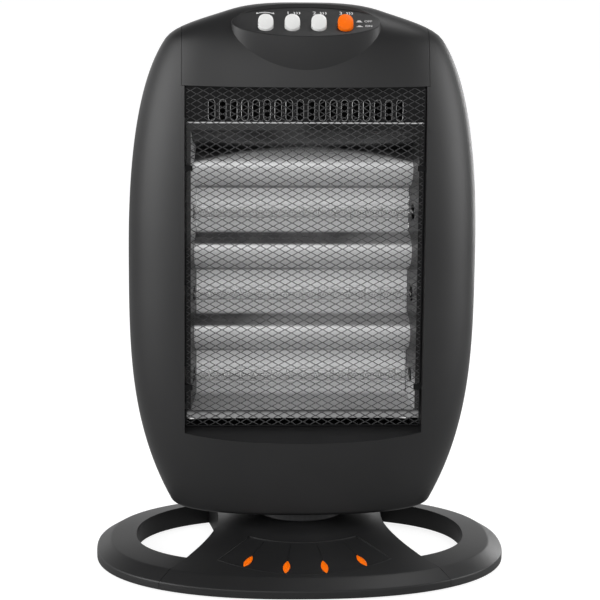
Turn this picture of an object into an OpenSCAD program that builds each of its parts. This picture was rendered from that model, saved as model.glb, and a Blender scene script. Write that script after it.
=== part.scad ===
// Oscillating halogen heater: a pebble-shaped head with three quartz lamps in
// front of a folded reflector, standing on an oval ring base.
// Millimetres. Z is up, the front looks along -Y, the swing axis is X = 0, Y = 0.

/* [Head shell] */
// Width of the head at its belt
head_w = 268; // [256:2:300]
// Depth of the head in front of its seam plane
head_front_d = 54; // [50:1:64]
// Depth of the head behind its seam plane
head_rear_d = 50; // [46:1:60]
// Height of the underside of the head
head_foot_z = 44.5; // [42:0.5:50]
// Height of the widest line, as a share of the head's height
belt_share = 0.499; // [0.45:0.001:0.55]
// Height of the top of the head
head_top_z = 434; // [425:0.5:450]
// Share of the width that is lost from the belt down to the foot
foot_taper = 0.25; // [0.15:0.01:0.3]
// Wall of the moulded shells
wall = 2.4; // [1.8:0.1:3]
// Open seam between neighbouring shells
seam_gap = 0.3; // [0.1:0.1:0.6]

/* [Front opening] */
// Width of the opening for the guard
open_w = 181.6; // [170:0.2:184]
// Height of the head under the opening
chin_h = 67; // [62:1:78]
// Height of the head above the opening
crown_h = 60; // [58:0.5:68]
// Depth of the guard behind the front of the head
guard_in = 22; // [20:0.5:25]
// Depth of the turned-in lip round the opening, behind the guard
lip_d = 8; // [6:0.5:12]
// Drop of the sloping sill under the guard, per millimetre of depth
sill_slope = 0.42; // [0.2:0.02:0.6]

/* [Control pod] */
// Width of the raised control pod
pod_w = 112; // [104:1:120]
// Forward tilt of the pod's face
pod_tilt = 30; // [24:1:34]
// Distance of the pod's front rim behind the front of the head
pod_in = 12; // [8:0.5:14]
// Distance of the pod's front rim under the top of the head
pod_rim_drop = 22.5; // [19:0.5:28]
// Distance between two push buttons
button_pitch = 19.8; // [17:0.1:21]
// Width of a push button
button_w = 11.6; // [9:0.2:13]
// Length of a push button along the slope of the face
button_l = 13.5; // [12:0.1:15]
// Height of the middle of a released button above the face
button_h = 5; // [4:0.1:7]
// Travel of a button
button_travel = 3; // [2:0.1:4]

/* [Guard] */
// Long way of a diamond in the expanded-metal guard
diamond_l = 9.6; // [9:0.1:14]
// Short way of a diamond
diamond_s = 5; // [4.5:0.1:8]
// Width of a strand of the guard
strand = 0.9; // [0.6:0.1:1.4]
// Thickness of the guard sheet
guard_t = 0.8; // [0.5:0.1:1.2]

/* [Reflector and lamps] */
// Dark gap under the tray, between its flange and the guard's lower edge
tray_lift = 5; // [2:0.5:8]
// Distance between two lamps, as a share of the tray's height
lamp_share = 0.28; // [0.265:0.001:0.295]
// Distance of the middle lamp under the middle of the tray, as a share of its height
lamp_drop_share = 0.089; // [0.05:0.001:0.11]
// Distance of the lamps in front of the seam plane
lamp_y = 13; // [12:0.5:15]
// Outer diameter of a quartz tube
lamp_d = 10; // [8:0.5:11]
// Length of a lamp over its ceramic caps
lamp_l = 192; // [188:1:194]
// Diameter of a ceramic cap
cap_d = 13; // [12:0.5:14]
// Height of the rounded ridge between two lamps, as a share of their distance
ridge_share = 0.203; // [0.12:0.001:0.23]
// Width of the flat strip behind a lamp, as a share of the lamps' distance
strip_share = 0.516; // [0.44:0.001:0.58]
// Thickness of the reflector sheet
sheet_t = 0.8; // [0.5:0.1:1]

/* [Vent plate] */
// Height of the band over the tray that the vent plate closes
vent_band_h = 27.4; // [24:0.1:30]
// Number of slots in the vent plate
vent_slots = 18; // [10:1:20]
// Distance between two slots
vent_pitch = 8.3; // [7:0.1:8.6]
// Width of a slot
vent_slot_w = 5; // [3:0.2:5.6]
// Height of a slot
vent_slot_h = 16; // [10:0.5:18]

/* [Base] */
// Width of the oval base
base_w = 320; // [300:2:360]
// Depth of the oval base
base_d = 230; // [220:2:250]
// Height of the bare rim above the floor
rim_z = 7.5; // [5:0.1:9]
// Height of the crease between the chamfer and the top of the ring
crease_z = 14.5; // [12:0.1:16]
// Width of the chamfer round the ring
chamfer_w = 11; // [8:0.5:13]
// Width of the ring's flat top band
band_w = 20; // [16:0.5:22]
// Radius of the raised collar where the apron starts
collar_r = 62; // [58:1:64]
// Height of the collar
collar_z = 29; // [25:0.5:31]
// Height of the seat for the turntable
seat_z = 36.5; // [33:0.1:38]
// Width of the bridge at its waist
waist_w = 129; // [124:1:136]
// Wall of the base shell
base_wall = 2.5; // [2:0.1:3]
// Height of the rubber feet under the shell
foot_h = 1.5; // [1:0.1:2]
// Diameter of a rubber foot
foot_d = 12; // [10:0.5:13]

/* [Swing gear] */
// Swing of the head to each side, in degrees
swing = 35; // [25:1:40]
// Radius of the spigot that the head turns on
spigot_r = 14; // [12:0.5:15]
// Radius of the turntable's neck
neck_r = 36.5; // [35:0.5:38]
// Radial clearance of a running fit
fit = 0.05; // [0.02:0.01:0.08]
// Distance of the anchor peg from the swing axis
peg_off = 12; // [10.5:0.5:12]
// Distance of the motor shaft from the swing axis along X
motor_x = 56; // [55:0.5:60]
// Diameter of the swing motor
motor_d = 50; // [46:1:50]
// Height of the swing motor
motor_h = 17; // [14:0.5:20]

/* [Tip switch] */
// Diameter of the tip-over plunger
plunger_d = 6; // [5:0.2:8]
// Drop of the plunger when the heater is lifted
plunger_travel = 5; // [3:0.5:6]

/* [Hidden] */
$fn = 48;

body_black = [0.16, 0.16, 0.17];
deep_black = [0.07, 0.07, 0.07];
steel = [0.75, 0.76, 0.78];
mirror_metal = [0.86, 0.87, 0.88];
ceramic = [0.93, 0.91, 0.86];
accent_orange = [1, 0.48, 0.06];
button_white = [0.92, 0.92, 0.91];

// Clearance between pieces that are assembled but don't slide
clear = 0.15;
// Gap between pieces that move past each other
run_gap = 0.2;
// A cut reaches this far past the faces that it goes through
past = 1;

// Exponents of the head's outline and section
side_power = 5.1;
crown_power = 3.2;
height_power = 2.29;
taper_power = 3.2;
section_power = 2.3;
depth_power = 3;
depth_taper = 0.12;
rear_taper = 0.04;
foot_edge = 3;
head_points = 48;
head_h = head_top_z - head_foot_z;
function at_height(share) = head_foot_z + share * head_h;
belt_z = at_height(belt_share);
open_bottom_z = head_foot_z + chin_h;
open_top_z = head_top_z - crown_h;
guard_y = head_front_d - guard_in;
upper_rings = 13;
lower_rings = 8;

function smooth_step(v) = let (u = min(1, max(0, v))) u * u * (3 - 2 * u);
function signed_pow(v, p) = sign(v) * pow(abs(v), p);
// Share of the full width at height u, from -1 at the foot over 0 at the belt to 1 at the top
function crown_exponent(u) = side_power - (side_power - crown_power) * smooth_step((u - 0.86) / 0.11);
function width_share(u) = u < 0
    ? 1 - foot_taper * pow(-u, taper_power)
    : pow(1 - pow(u, height_power), 1 / crown_exponent(u));
function depth_share(u, taper = depth_taper) = u < 0
    ? 1 - taper * pow(-u, taper_power)
    : pow(1 - pow(u, height_power), 1 / depth_power);
head_levels = concat(
    [-1, -0.985],
    [for (k = [lower_rings - 1 : -1 : 0]) -k / lower_rings],
    [for (k = [1 : upper_rings]) sin(87 * k / upper_rings)]
);
// One horizontal section of the head, drawn in by an inset
function head_ring(u, inset) =
    let (
        z = belt_z + (u < 0 ? u * (belt_z - head_foot_z - inset) : u * (head_top_z - inset - belt_z)),
        edge = u == -1 ? foot_edge : 0,
        w = head_w / 2 * width_share(u) - inset - edge,
        front = head_front_d * depth_share(u) - inset - edge,
        rear = head_rear_d * depth_share(u, rear_taper) - inset - edge
    )
    [for (k = [0 : head_points - 1])
        let (a = 360 * k / head_points, c = cos(a), s = sin(a))
            [w * signed_pow(c, 2 / section_power),
             (s < 0 ? front : rear) * signed_pow(s, 2 / section_power), z]];
// Front surface of the head at a place x, z, as a distance in front of the seam plane
function head_u(z) = z < belt_z ? (z - belt_z) / (belt_z - head_foot_z) : (z - belt_z) / (head_top_z - belt_z);
function head_front(x, z) = head_front_d * depth_share(head_u(z))
    * pow(1 - pow(abs(x) / (head_w / 2 * width_share(head_u(z))), section_power), 1 / section_power);

// A closed skin over a stack of rings that all have the same number of points
module ring_stack(rings) {
    n = len(rings[0]);
    last = len(rings) - 1;
    polyhedron(
        points = [for (r = rings, p = r) p],
        faces = concat(
            [[for (k = [0 : n - 1]) k]],
            [for (i = [0 : last - 1], k = [0 : n - 1])
                let (a = i * n + k, b = i * n + (k + 1) % n)
                    [a, a + n, b + n, b]],
            [[for (k = [n - 1 : -1 : 0]) last * n + k]]
        )
    );
}
module head_solid(inset) ring_stack([for (u = head_levels) head_ring(u, inset)]);

// Half spaces in front of and behind the seam plane
module front_space(gap) translate([-head_w, -head_w - gap / 2, 0]) cube([2 * head_w, head_w, 2 * head_top_z]);
module rear_space(gap) translate([-head_w, gap / 2, 0]) cube([2 * head_w, head_w, 2 * head_top_z]);

// Front opening, sill and lip
lip_back_y = guard_y - lip_d;
cover_seam_z = open_top_z + wall;
function sill_z(y) = open_bottom_z - max(0, y - guard_y) * sill_slope;
module side_profile(points, width) rotate([90, 0, 90]) linear_extrude(width, center = true) polygon(points);
module opening_space(grow) side_profile([
    [-lip_back_y + (grow > 0 ? 0 : past), open_bottom_z - grow],
    [-guard_y, open_bottom_z - grow],
    [-2 * head_front_d, sill_z(2 * head_front_d) - grow],
    [-2 * head_front_d, open_top_z + grow],
    [-lip_back_y + (grow > 0 ? 0 : past), open_top_z + grow]
], open_w + 2 * grow);
module cover_space(gap) translate([-open_w / 2 - wall + gap / 2, -2 * head_front_d, open_top_z - seam_gap + gap])
    cube([open_w + 2 * wall - gap, 2 * head_front_d - gap / 2, head_top_z]);

// Screw joints between the front and rear shells: [x, z]
shell_joint_x = head_w / 2 - 22;
shell_foot_joint_x = head_w / 2 - 44;
shell_joints = [
    for (s = [-1, 1]) [s * shell_joint_x, at_height(0.279)],
    for (s = [-1, 1]) [s * shell_joint_x, at_height(0.676)],
    for (s = [-1, 1]) [s * shell_foot_joint_x, at_height(0.08)]
];
screw_r = 1.5;
screw_head_r = 3;
screw_head_h = 2.2;
boss_r = 4;
shell_screw_seat = 8;
shell_screw_l = 18;
module shell_bosses(depth_from, depth_to) for (p = shell_joints)
    translate([p[0], depth_from, p[1]]) rotate([-90, 0, 0]) cylinder(r = boss_r, h = depth_to - depth_from);
module joint_holes(r, y_from, y_to) for (p = shell_joints)
    translate([p[0], y_from, p[1]]) rotate([-90, 0, 0]) cylinder(r = r, h = y_to - y_from);

// The floor of the head, with the hole that the turntable's neck stands in
floor_top_z = head_foot_z + wall;
flange_r = neck_r + 4;
flange_t = 3;
floor_screw_r = neck_r + 9.5;
floor_lug_r = 5;
module at_floor_screws() for (a = [25, 155, 205, 335]) rotate(a) translate([floor_screw_r, 0, 0]) children();
module floor_holes() {
    translate([0, 0, head_foot_z - past]) cylinder(r = neck_r + clear, h = wall + 2 * past);
    at_floor_screws() translate([0, 0, head_foot_z - past]) cylinder(r = screw_r + clear, h = wall + 2 * past);
}

// Tray fixing ears and the bosses behind the frame that they are screwed to
ear_x = open_w / 2 + 10;
ear_h = 14;
ear_zs = [open_bottom_z + tray_lift + 11, open_top_z - 44];
tray_back_y = 2;
tray_boss_y = tray_back_y + sheet_t + run_gap;
tray_screw_l = 12;
tray_hole_l = tray_screw_l + 2;
module tray_bosses() for (s = [-1, 1], z = ear_zs)
    translate([s * ear_x, -head_front_d, z]) rotate([-90, 0, 0]) cylinder(r = boss_r, h = head_front_d - tray_boss_y);
module tray_boss_holes() for (s = [-1, 1], z = ear_zs)
    translate([s * ear_x, -tray_boss_y - tray_hole_l, z]) rotate([-90, 0, 0])
        cylinder(r = screw_r + fit, h = tray_hole_l + past);

module front_frame() color(body_black) difference() {
    union() {
        difference() {
            head_solid(0);
            head_solid(wall);
            rear_space(-seam_gap);
        }
        intersection() {
            head_solid(0);
            union() {
                opening_space(wall);
                tray_bosses();
                shell_bosses(-head_front_d, -seam_gap / 2);
            }
        }
    }
    opening_space(0);
    cover_space(0);
    floor_holes();
    tray_boss_holes();
    joint_holes(screw_r + fit, shell_screw_seat - shell_screw_l - past, past);
}

// Control pod: everything on it is placed in the frame of its tilted face, from
// the line that the buttons stand on
pod_front_y = head_front_d - pod_in;
pod_rim_z = head_top_z - pod_rim_drop;
pod_half_d = 17;
button_line_in = 12;
button_line_y = pod_front_y - button_line_in;
pod_face_z = pod_rim_z + button_line_in * tan(pod_tilt);
button_shift = -0.75;
button_first_x = button_shift - 1.5 * button_pitch;
button_xs = [for (k = [0 : 3]) button_first_x + k * button_pitch];
module pod_frame() translate([0, -button_line_y, pod_face_z]) rotate([pod_tilt, 0, 0]) children();
module above_face(inset) pod_frame() translate([-pod_w, -pod_w, -inset]) cube(2 * pod_w);
// The pod is an oval column, cut by its tilted face
module pod_column(inset) translate([0, pod_half_d - pod_front_y, belt_z])
    scale([1, (pod_half_d - inset) / (pod_w / 2 - inset), 1])
        cylinder(r = pod_w / 2 - inset, h = head_top_z - belt_z, $fn = 64);
module pod_solid(inset) difference() {
    pod_column(inset);
    above_face(inset);
}
pod_skirt_z = head_top_z - 54.5;
module button_outline(grow, z_from, z_to) {
    shift = (button_l - button_w) / 2;
    for (s = [-1, 1]) translate([0, s * shift, z_from]) cylinder(r = button_w / 2 + grow, h = z_to - z_from);
    translate([-button_w / 2 - grow, -shift, z_from]) cube([button_w + 2 * grow, 2 * shift, z_to - z_from]);
}
switch_top = 9;
plate_t = 1;
plate_post_x = [button_first_x - 14.5, button_first_x + 3 * button_pitch + 14.5];
plate_post_r = 3.2;
plate_margin = 3.8;
plate_w = 12;
small_screw_r = 1;
small_screw_l = 5.5;
small_head_r = 2;
small_head_h = 1.4;
button_clear = 0.35;
// Floor and surround of the face where it is sunk into the crown
module face_pan() intersection() {
    pod_column(-wall);
    head_solid(0);
    above_face(wall);
    front_space(seam_gap);
}
module top_cover() color(body_black) difference() {
    union() {
        difference() {
            union() {
                intersection() {
                    difference() {
                        head_solid(0);
                        head_solid(wall);
                    }
                    cover_space(seam_gap);
                    translate([-open_w, -head_w, cover_seam_z]) cube([2 * open_w, 2 * head_w, head_top_z]);
                }
                intersection() {
                    head_solid(0);
                    translate([-open_w / 2 - wall + seam_gap / 2, -2 * head_front_d, open_top_z])
                        cube([open_w + 2 * wall - seam_gap, 2 * head_front_d - lip_back_y, wall]);
                }
                intersection() {
                    pod_solid(0);
                    front_space(seam_gap);
                    translate([-pod_w, -head_w, pod_skirt_z]) cube([2 * pod_w, 2 * head_w, head_top_z]);
                }
                face_pan();
            }
            intersection() {
                pod_column(0);
                above_face(0);
            }
            intersection() {
                pod_solid(wall);
                front_space(0);
            }
            difference() {
                intersection() {
                    head_solid(wall);
                    translate([-open_w, -head_w, cover_seam_z]) cube([2 * open_w, 2 * head_w, head_top_z]);
                    front_space(0);
                }
                intersection() {
                    pod_column(-wall);
                    above_face(wall);
                }
            }
        }
        pod_frame() for (x = plate_post_x)
            translate([x, 0, -switch_top + plate_t]) cylinder(r = plate_post_r, h = switch_top - plate_t - wall / 2);
    }
    pod_frame() {
        for (x = button_xs) translate([x, 0, 0]) button_outline(button_clear, -wall - past, past);
        for (x = plate_post_x) translate([x, 0, -switch_top]) cylinder(r = small_screw_r + fit, h = switch_top - wall);
    }
}

// Rear shell with its warm-air slots
rear_slot_w = 52;
rear_slot_h = 4;
rear_slot_step = 11;
rear_slot_xs = [-62, 0, 62];
rear_slot_bottom = at_height(0.545);
rear_slot_rows = 8;
intake_bottom = at_height(0.09);
intake_rows = 3;
module slot_cut(x, z, w, h) translate([x, head_rear_d / 2, z]) rotate([-90, 0, 0]) {
    for (s = [-1, 1]) translate([s * (w - h) / 2, 0, 0]) cylinder(d = h, h = head_rear_d, $fn = 16);
    translate([-(w - h) / 2, -h / 2, 0]) cube([w - h, h, head_rear_d]);
}
module rear_shell() color(body_black) difference() {
    union() {
        difference() {
            head_solid(0);
            head_solid(wall);
            front_space(-seam_gap);
        }
        intersection() {
            head_solid(wall / 2);
            shell_bosses(seam_gap / 2, head_rear_d);
        }
    }
    for (x = rear_slot_xs, k = [0 : rear_slot_rows - 1])
        slot_cut(x, rear_slot_bottom + k * rear_slot_step, rear_slot_w, rear_slot_h);
    for (x = rear_slot_xs, k = [0 : intake_rows - 1])
        slot_cut(x, intake_bottom + k * rear_slot_step, rear_slot_w, rear_slot_h);
    floor_holes();
    joint_holes(screw_r + clear, -past, head_rear_d + past);
    joint_holes(screw_head_r + clear, shell_screw_seat, head_rear_d + past);
}
module screw(length) {
    cylinder(r = screw_head_r, h = screw_head_h);
    translate([0, 0, -length]) cylinder(r = screw_r, h = length);
}
module shell_screws() color(steel) for (p = shell_joints)
    translate([p[0], shell_screw_seat, p[1]]) rotate([-90, 0, 0]) screw(shell_screw_l);

// Turntable: the neck under the head, its flange on the head's floor and the hub on the spigot
ring_t = 1;
neck_z = seat_z + ring_t + run_gap;
hub_r = 24;
hub_top_z = seat_z + 21.5;
module turntable() color(deep_black) difference() {
    union() {
        translate([0, 0, neck_z]) cylinder(r = neck_r, h = floor_top_z - neck_z + flange_t);
        translate([0, 0, floor_top_z]) cylinder(r = flange_r, h = flange_t);
        at_floor_screws() {
            translate([0, 0, floor_top_z]) cylinder(r = floor_lug_r, h = flange_t);
            translate([-floor_lug_r - 4, -floor_lug_r, floor_top_z]) cube([floor_lug_r + 4, 2 * floor_lug_r, flange_t]);
        }
        translate([0, 0, floor_top_z]) cylinder(r = hub_r, h = hub_top_z - floor_top_z);
    }
    translate([0, 0, neck_z - past]) cylinder(r = spigot_r + fit, h = hub_top_z);
    at_floor_screws() translate([0, 0, floor_top_z - past]) cylinder(r = screw_r + clear, h = flange_t + 2 * past);
    translate([0, 0, hub_top_z - 9]) difference() {
        cylinder(r = hub_r - 3, h = 9 + past);
        cylinder(r = spigot_r + 3, h = 9 + past);
        for (a = [0 : 60 : 300]) rotate(a) translate([0, -1, 0]) cube([hub_r, 2, 9 + past]);
    }
}
module turntable_screws() color(steel) at_floor_screws() translate([0, 0, floor_top_z + flange_t]) screw(5);

// Base: a hat-shaped moulding in polar rings, with a window on each side
base_points = 72;
function oval_r(a, rx, ry, n) = pow(pow(abs(cos(a)) / rx, n) + pow(abs(sin(a)) / ry, n), -1 / n);
// Each ring is [half width, half depth, height, exponent]
function hat_rings(inset, drop) = [
    [base_w / 2 - inset, base_d / 2 - inset, foot_h - drop, 2.3],
    [base_w / 2 - inset, base_d / 2 - inset, rim_z - inset / 2, 2.3],
    [base_w / 2 - chamfer_w - inset / 2, base_d / 2 - chamfer_w - inset / 2, crease_z - inset, 2.3],
    [collar_r, collar_r, collar_z - inset, 2],
    [collar_r - 9, collar_r - 9, collar_z + (seat_z - collar_z) * 0.55 - inset, 2],
    [neck_r + 6, neck_r + 6, seat_z - 0.8 - inset, 2],
    [neck_r + 2, neck_r + 2, seat_z - inset, 2]
];
module hat_solid(inset, drop) ring_stack([for (r = hat_rings(inset, drop))
    [for (k = [0 : base_points - 1])
        let (a = 360 * (k + 0.5) / base_points, q = oval_r(a, r[0], r[1], r[3]))
            [q * cos(a), q * sin(a), r[2]]]]);
// Height of the apron at a distance r from the axis in the direction a
function apron_z(r, a) =
    let (edge = oval_r(a, base_w / 2 - chamfer_w, base_d / 2 - chamfer_w, 2.3))
        collar_z - (collar_z - crease_z) * (r - collar_r) / (edge - collar_r);
function apron_slope(a) =
    let (edge = oval_r(a, base_w / 2 - chamfer_w, base_d / 2 - chamfer_w, 2.3))
        atan((collar_z - crease_z) / (edge - collar_r));

// Plan of the windows: the ring's inner oval less an hourglass bridge
front_flare = 39;
rear_flare = 9;
function bridge_half(y) = waist_w / 2 + (y < 0 ? front_flare : rear_flare) * pow(y / (base_d / 2 - chamfer_w - band_w), 2);
module ring_inner(grow) polygon([for (k = [0 : base_points - 1])
    let (a = 360 * k / base_points,
         q = oval_r(a, base_w / 2 - chamfer_w - band_w + grow, base_d / 2 - chamfer_w - band_w + grow, 2.3))
        [q * cos(a), q * sin(a)]]);
module bridge_plan(grow) {
    ys = [for (k = [-14 : 14]) k * base_d / 28];
    polygon(concat(
        [for (y = ys) [bridge_half(y) + grow, y]],
        [for (k = [len(ys) - 1 : -1 : 0]) [-bridge_half(ys[k]) - grow, ys[k]]]
    ));
}
module windows(grow) translate([0, 0, -past]) linear_extrude(seat_z + 2 * past) difference() {
    ring_inner(grow);
    bridge_plan(-grow);
}

// Screw posts under the base shell
side_post_x = base_w / 2 - chamfer_w - band_w / 2;
band_in_y = base_d / 2 - chamfer_w - band_w;
base_posts = [
    for (s = [-1, 1]) [s * side_post_x, 0],
    for (s = [-1, 1]) [s * (waist_w / 2 + 11.5), 8 - band_in_y],
    for (s = [-1, 1]) [s * (waist_w / 2 - 6.5), band_in_y - 4]
];
plate_z = foot_h;
bottom_t = 1.8;
bottom_top_z = plate_z + bottom_t;
post_bottom_z = bottom_top_z + run_gap;
base_post_r = 3.6;

// Orange inserts and the sunken panel on the apron
insert_r = base_d / 2 - 23.5;
insert_angles = [-28, -9, 9, 28];
insert_l = 15;
insert_w = 5.2;
insert_proud = 0.8;
panel_in_r = collar_r + 1;
panel_out_r = base_d / 2 - 14.5;
panel_half_angle = 41;
panel_sink = 0.6;
module leaf(grow, z_from, z_to) {
    r = (pow(insert_l / 2, 2) + pow(insert_w / 2, 2)) / insert_w;
    intersection_for (s = [-1, 1]) translate([s * (r - insert_w / 2), 0, z_from])
        cylinder(r = r + grow, h = z_to - z_from, $fn = 96);
}
module at_inserts() for (a = insert_angles)
    rotate(a) translate([0, -insert_r, apron_z(insert_r, a - 90) - panel_sink])
        rotate([apron_slope(a - 90), 0, 0]) children();
module panel_sector() intersection() {
    difference() {
        cylinder(r = panel_out_r, h = seat_z, $fn = 96);
        translate([0, 0, -past]) cylinder(r = panel_in_r, h = seat_z + 2 * past, $fn = 96);
    }
    linear_extrude(seat_z) polygon([
        [0, 0],
        [-2 * panel_out_r * sin(panel_half_angle), -2 * panel_out_r * cos(panel_half_angle)],
        [2 * panel_out_r * sin(panel_half_angle), -2 * panel_out_r * cos(panel_half_angle)]
    ]);
}
spigot_flange_r = 31;
spigot_screw_at = 24;
module at_spigot_screws() for (a = [45 : 90 : 315]) rotate(a) translate([spigot_screw_at, 0, 0]) children();

// Cord entry at the back of the base
gland_z = 8.2;
gland_bore_r = 3.3;
gland_r = 4.6;
gland_l = 15;
gland_end_y = base_d / 2 - 0.3;
module base_shell() color(body_black) difference() {
    union() {
        difference() {
            hat_solid(0, 0);
            difference() {
                hat_solid(base_wall, past);
                windows(base_wall);
            }
        }
        intersection() {
            hat_solid(base_wall / 2, 0);
            for (p = base_posts) translate([p[0], p[1], post_bottom_z]) cylinder(r = base_post_r, h = seat_z);
        }
    }
    windows(0);
    difference() {
        panel_sector();
        hat_solid(panel_sink, 0);
    }
    at_inserts() leaf(clear, -2 * base_wall, 2 * base_wall);
    translate([0, 0, seat_z - 2 * base_wall]) cylinder(r = spigot_r + clear, h = 3 * base_wall);
    at_spigot_screws() translate([0, 0, seat_z - 2 * base_wall]) cylinder(r = screw_r + fit, h = 2 * base_wall - 1);
    for (p = base_posts) translate([p[0], p[1], 0]) cylinder(r = screw_r + fit, h = 9);
    translate([0, gland_end_y - gland_l, gland_z]) rotate([-90, 0, 0]) cylinder(r = gland_r + clear, h = 2 * gland_l);
}
module base_inserts() color(accent_orange) at_inserts() {
    leaf(0, -base_wall, insert_proud);
    leaf(1.2, -base_wall - 1.2, -base_wall - run_gap);
    leaf(0, -base_wall - 0.5, -base_wall);
}
feet_angles = [38, 142, 218, 322];
foot_rx = base_w / 2 - chamfer_w - band_w / 2;
foot_ry = base_d / 2 - chamfer_w - band_w / 2;
foot_peg_r = 2.5;
module at_feet() for (a = feet_angles)
    translate([foot_rx * signed_pow(cos(a), 2 / 2.3), foot_ry * signed_pow(sin(a), 2 / 2.3), 0]) children();
tip_at = [-30, band_in_y - 18];
screw_sink = 0.6;
base_screw_l = 6;
module bottom_plate() color(deep_black) difference() {
    intersection() {
        hat_solid(base_wall + clear, 0);
        translate([-base_w, -base_w, plate_z]) cube([2 * base_w, 2 * base_w, bottom_t]);
    }
    windows(base_wall + clear);
    at_feet() translate([0, 0, -past]) cylinder(r = foot_peg_r + fit, h = 4 * past + plate_z);
    for (p = base_posts) translate([p[0], p[1], 0]) {
        cylinder(r = screw_r + clear, h = 4 * past + plate_z);
        cylinder(r = screw_head_r + clear, h = plate_z + screw_sink);
    }
    translate([tip_at[0], tip_at[1], -past]) cylinder(d = plunger_d + 2 * button_clear, h = 4 * past + plate_z);
}
module rubber_feet() color(deep_black) at_feet() {
    cylinder(d = foot_d, h = plate_z);
    cylinder(r = foot_peg_r, h = bottom_top_z);
    translate([0, 0, bottom_top_z]) cylinder(r1 = foot_peg_r + 0.6, r2 = foot_peg_r - 0.8, h = 1.6);
}
base_screw_head_h = 1.6;
module base_screws() color(steel) for (p = base_posts) translate([p[0], p[1], plate_z + screw_sink]) {
    translate([0, 0, -base_screw_head_h]) cylinder(r = screw_head_r, h = base_screw_head_h);
    cylinder(r = screw_r, h = base_screw_l);
}

// Spigot, bearing ring and the anchor cap that the link is hooked on
spigot_flange_t = 3;
spigot_flange_z = seat_z - base_wall - spigot_flange_t - run_gap;
spigot_top_z = hub_top_z + run_gap + 4;
spigot_bore_r = spigot_r - 4;
module pivot_spigot() color(steel) difference() {
    union() {
        translate([0, 0, spigot_flange_z]) cylinder(r = spigot_flange_r, h = spigot_flange_t);
        translate([0, 0, spigot_flange_z]) cylinder(r = spigot_r, h = spigot_top_z - spigot_flange_z);
    }
    translate([0, 0, spigot_flange_z - past]) cylinder(r = spigot_bore_r, h = spigot_top_z);
    at_spigot_screws() translate([0, 0, spigot_flange_z - past]) cylinder(r = screw_r + clear, h = spigot_flange_t + 2 * past);
}
module spigot_screws() color(steel) at_spigot_screws() translate([0, 0, spigot_flange_z]) rotate([180, 0, 0]) screw(4.5);
module bearing_ring() color(deep_black) translate([0, 0, seat_z]) difference() {
    cylinder(r = neck_r - 2, h = ring_t);
    translate([0, 0, -past]) cylinder(r = spigot_r + 4, h = ring_t + 2 * past);
}
crank_gap = 0.6;
crank_t = 3;
link_t = 2.5;
bracket_t = 1.2;
bracket_z = floor_top_z + flange_t + screw_head_h + run_gap;
motor_z = bracket_z + bracket_t;
crank_z = motor_z + motor_h + crank_gap;
link_z = crank_z + crank_t + run_gap;
peg_r = 2.2;
anchor_skirt_z = hub_top_z + run_gap;
anchor_cap_t = 3;
module anchor_cap() color(steel) difference() {
    union() {
        translate([0, 0, anchor_skirt_z]) cylinder(r = spigot_r + 6, h = spigot_top_z - anchor_skirt_z + anchor_cap_t);
        translate([0, peg_off, spigot_top_z]) cylinder(r = peg_r, h = link_z + link_t + 2 - spigot_top_z);
    }
    translate([0, 0, anchor_skirt_z - past]) cylinder(r = spigot_r + fit, h = spigot_top_z - anchor_skirt_z + past + fit);
    translate([0, 0, spigot_top_z - past]) cylinder(r = 7, h = anchor_cap_t + 2 * past);
}
module cord_gland() color(deep_black) translate([0, gland_end_y, gland_z]) rotate([90, 0, 0]) difference() {
    cylinder(r = gland_r, h = gland_l);
    translate([0, 0, -past]) cylinder(r = gland_bore_r, h = gland_l + 2 * past);
}

// Swing linkage. The crank turns a quarter turn each way while the head swings to its limits.
crank_r = peg_off * sin(swing);
motor_y = (peg_off * cos(swing) + peg_off - crank_r) / 2;
crank_pin_r = 2;
shaft_r = 3;
eye_r = peg_r + (peg_off * (1 - cos(swing)) - crank_r) / -2 + 0.5;
module at_motor(z) translate([-motor_x, motor_y, z]) children();
bracket_leg_angles = [75, 150, 270];
motor_screw_at = motor_d / 2 + 4;
motor_screw_angles = [20, 200];
module motor_bracket() color(steel) difference() {
    union() {
        at_motor(bracket_z) cylinder(r = motor_d / 2 - 2, h = bracket_t);
        for (a = bracket_leg_angles) at_motor(floor_top_z) rotate(a) translate([motor_d / 2 - 4, 0, 0])
            cylinder(r = 3.5, h = bracket_z - floor_top_z + bracket_t);
        for (a = motor_screw_angles) at_motor(bracket_z) rotate(a) translate([0, -5, 0])
            cube([motor_screw_at + 4, 10, bracket_t]);
    }
    at_motor(bracket_z - past) cylinder(r = 9, h = bracket_t + 2 * past);
    for (a = motor_screw_angles) at_motor(bracket_z - past) rotate(a) translate([motor_screw_at, 0, 0])
        cylinder(r = screw_r + fit, h = bracket_t + 2 * past);
}
module swing_motor() color(steel) difference() {
    union() {
        at_motor(motor_z) cylinder(d = motor_d, h = motor_h);
        for (a = motor_screw_angles) at_motor(motor_z) rotate(a) translate([0, -5, 0])
            cube([motor_screw_at + 4, 10, 1.2]);
    }
    at_motor(motor_z + motor_h - 8) cylinder(r = shaft_r + fit, h = 8 + past);
    for (a = motor_screw_angles) at_motor(motor_z - past) rotate(a) translate([motor_screw_at, 0, 0])
        cylinder(r = screw_r + clear, h = 4);
}
module motor_screws() color(steel) for (a = motor_screw_angles)
    at_motor(motor_z + 1.2) rotate(a) translate([motor_screw_at, 0, 0]) {
        cylinder(r = 2.8, h = 1.8);
        translate([0, 0, -3.4]) cylinder(r = screw_r, h = 3.4);
    }
module swing_crank() color(steel) {
    at_motor(crank_z) cylinder(r = crank_r + 4.5, h = crank_t);
    at_motor(motor_z + motor_h - 7.5) cylinder(r = shaft_r, h = 7.5 + crank_gap);
    at_motor(crank_z) translate([0, crank_r, 0]) cylinder(r = crank_pin_r, h = crank_t + run_gap + link_t + 1.2);
}
link_y = motor_y + crank_r;
eye_rim = 3;
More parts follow.
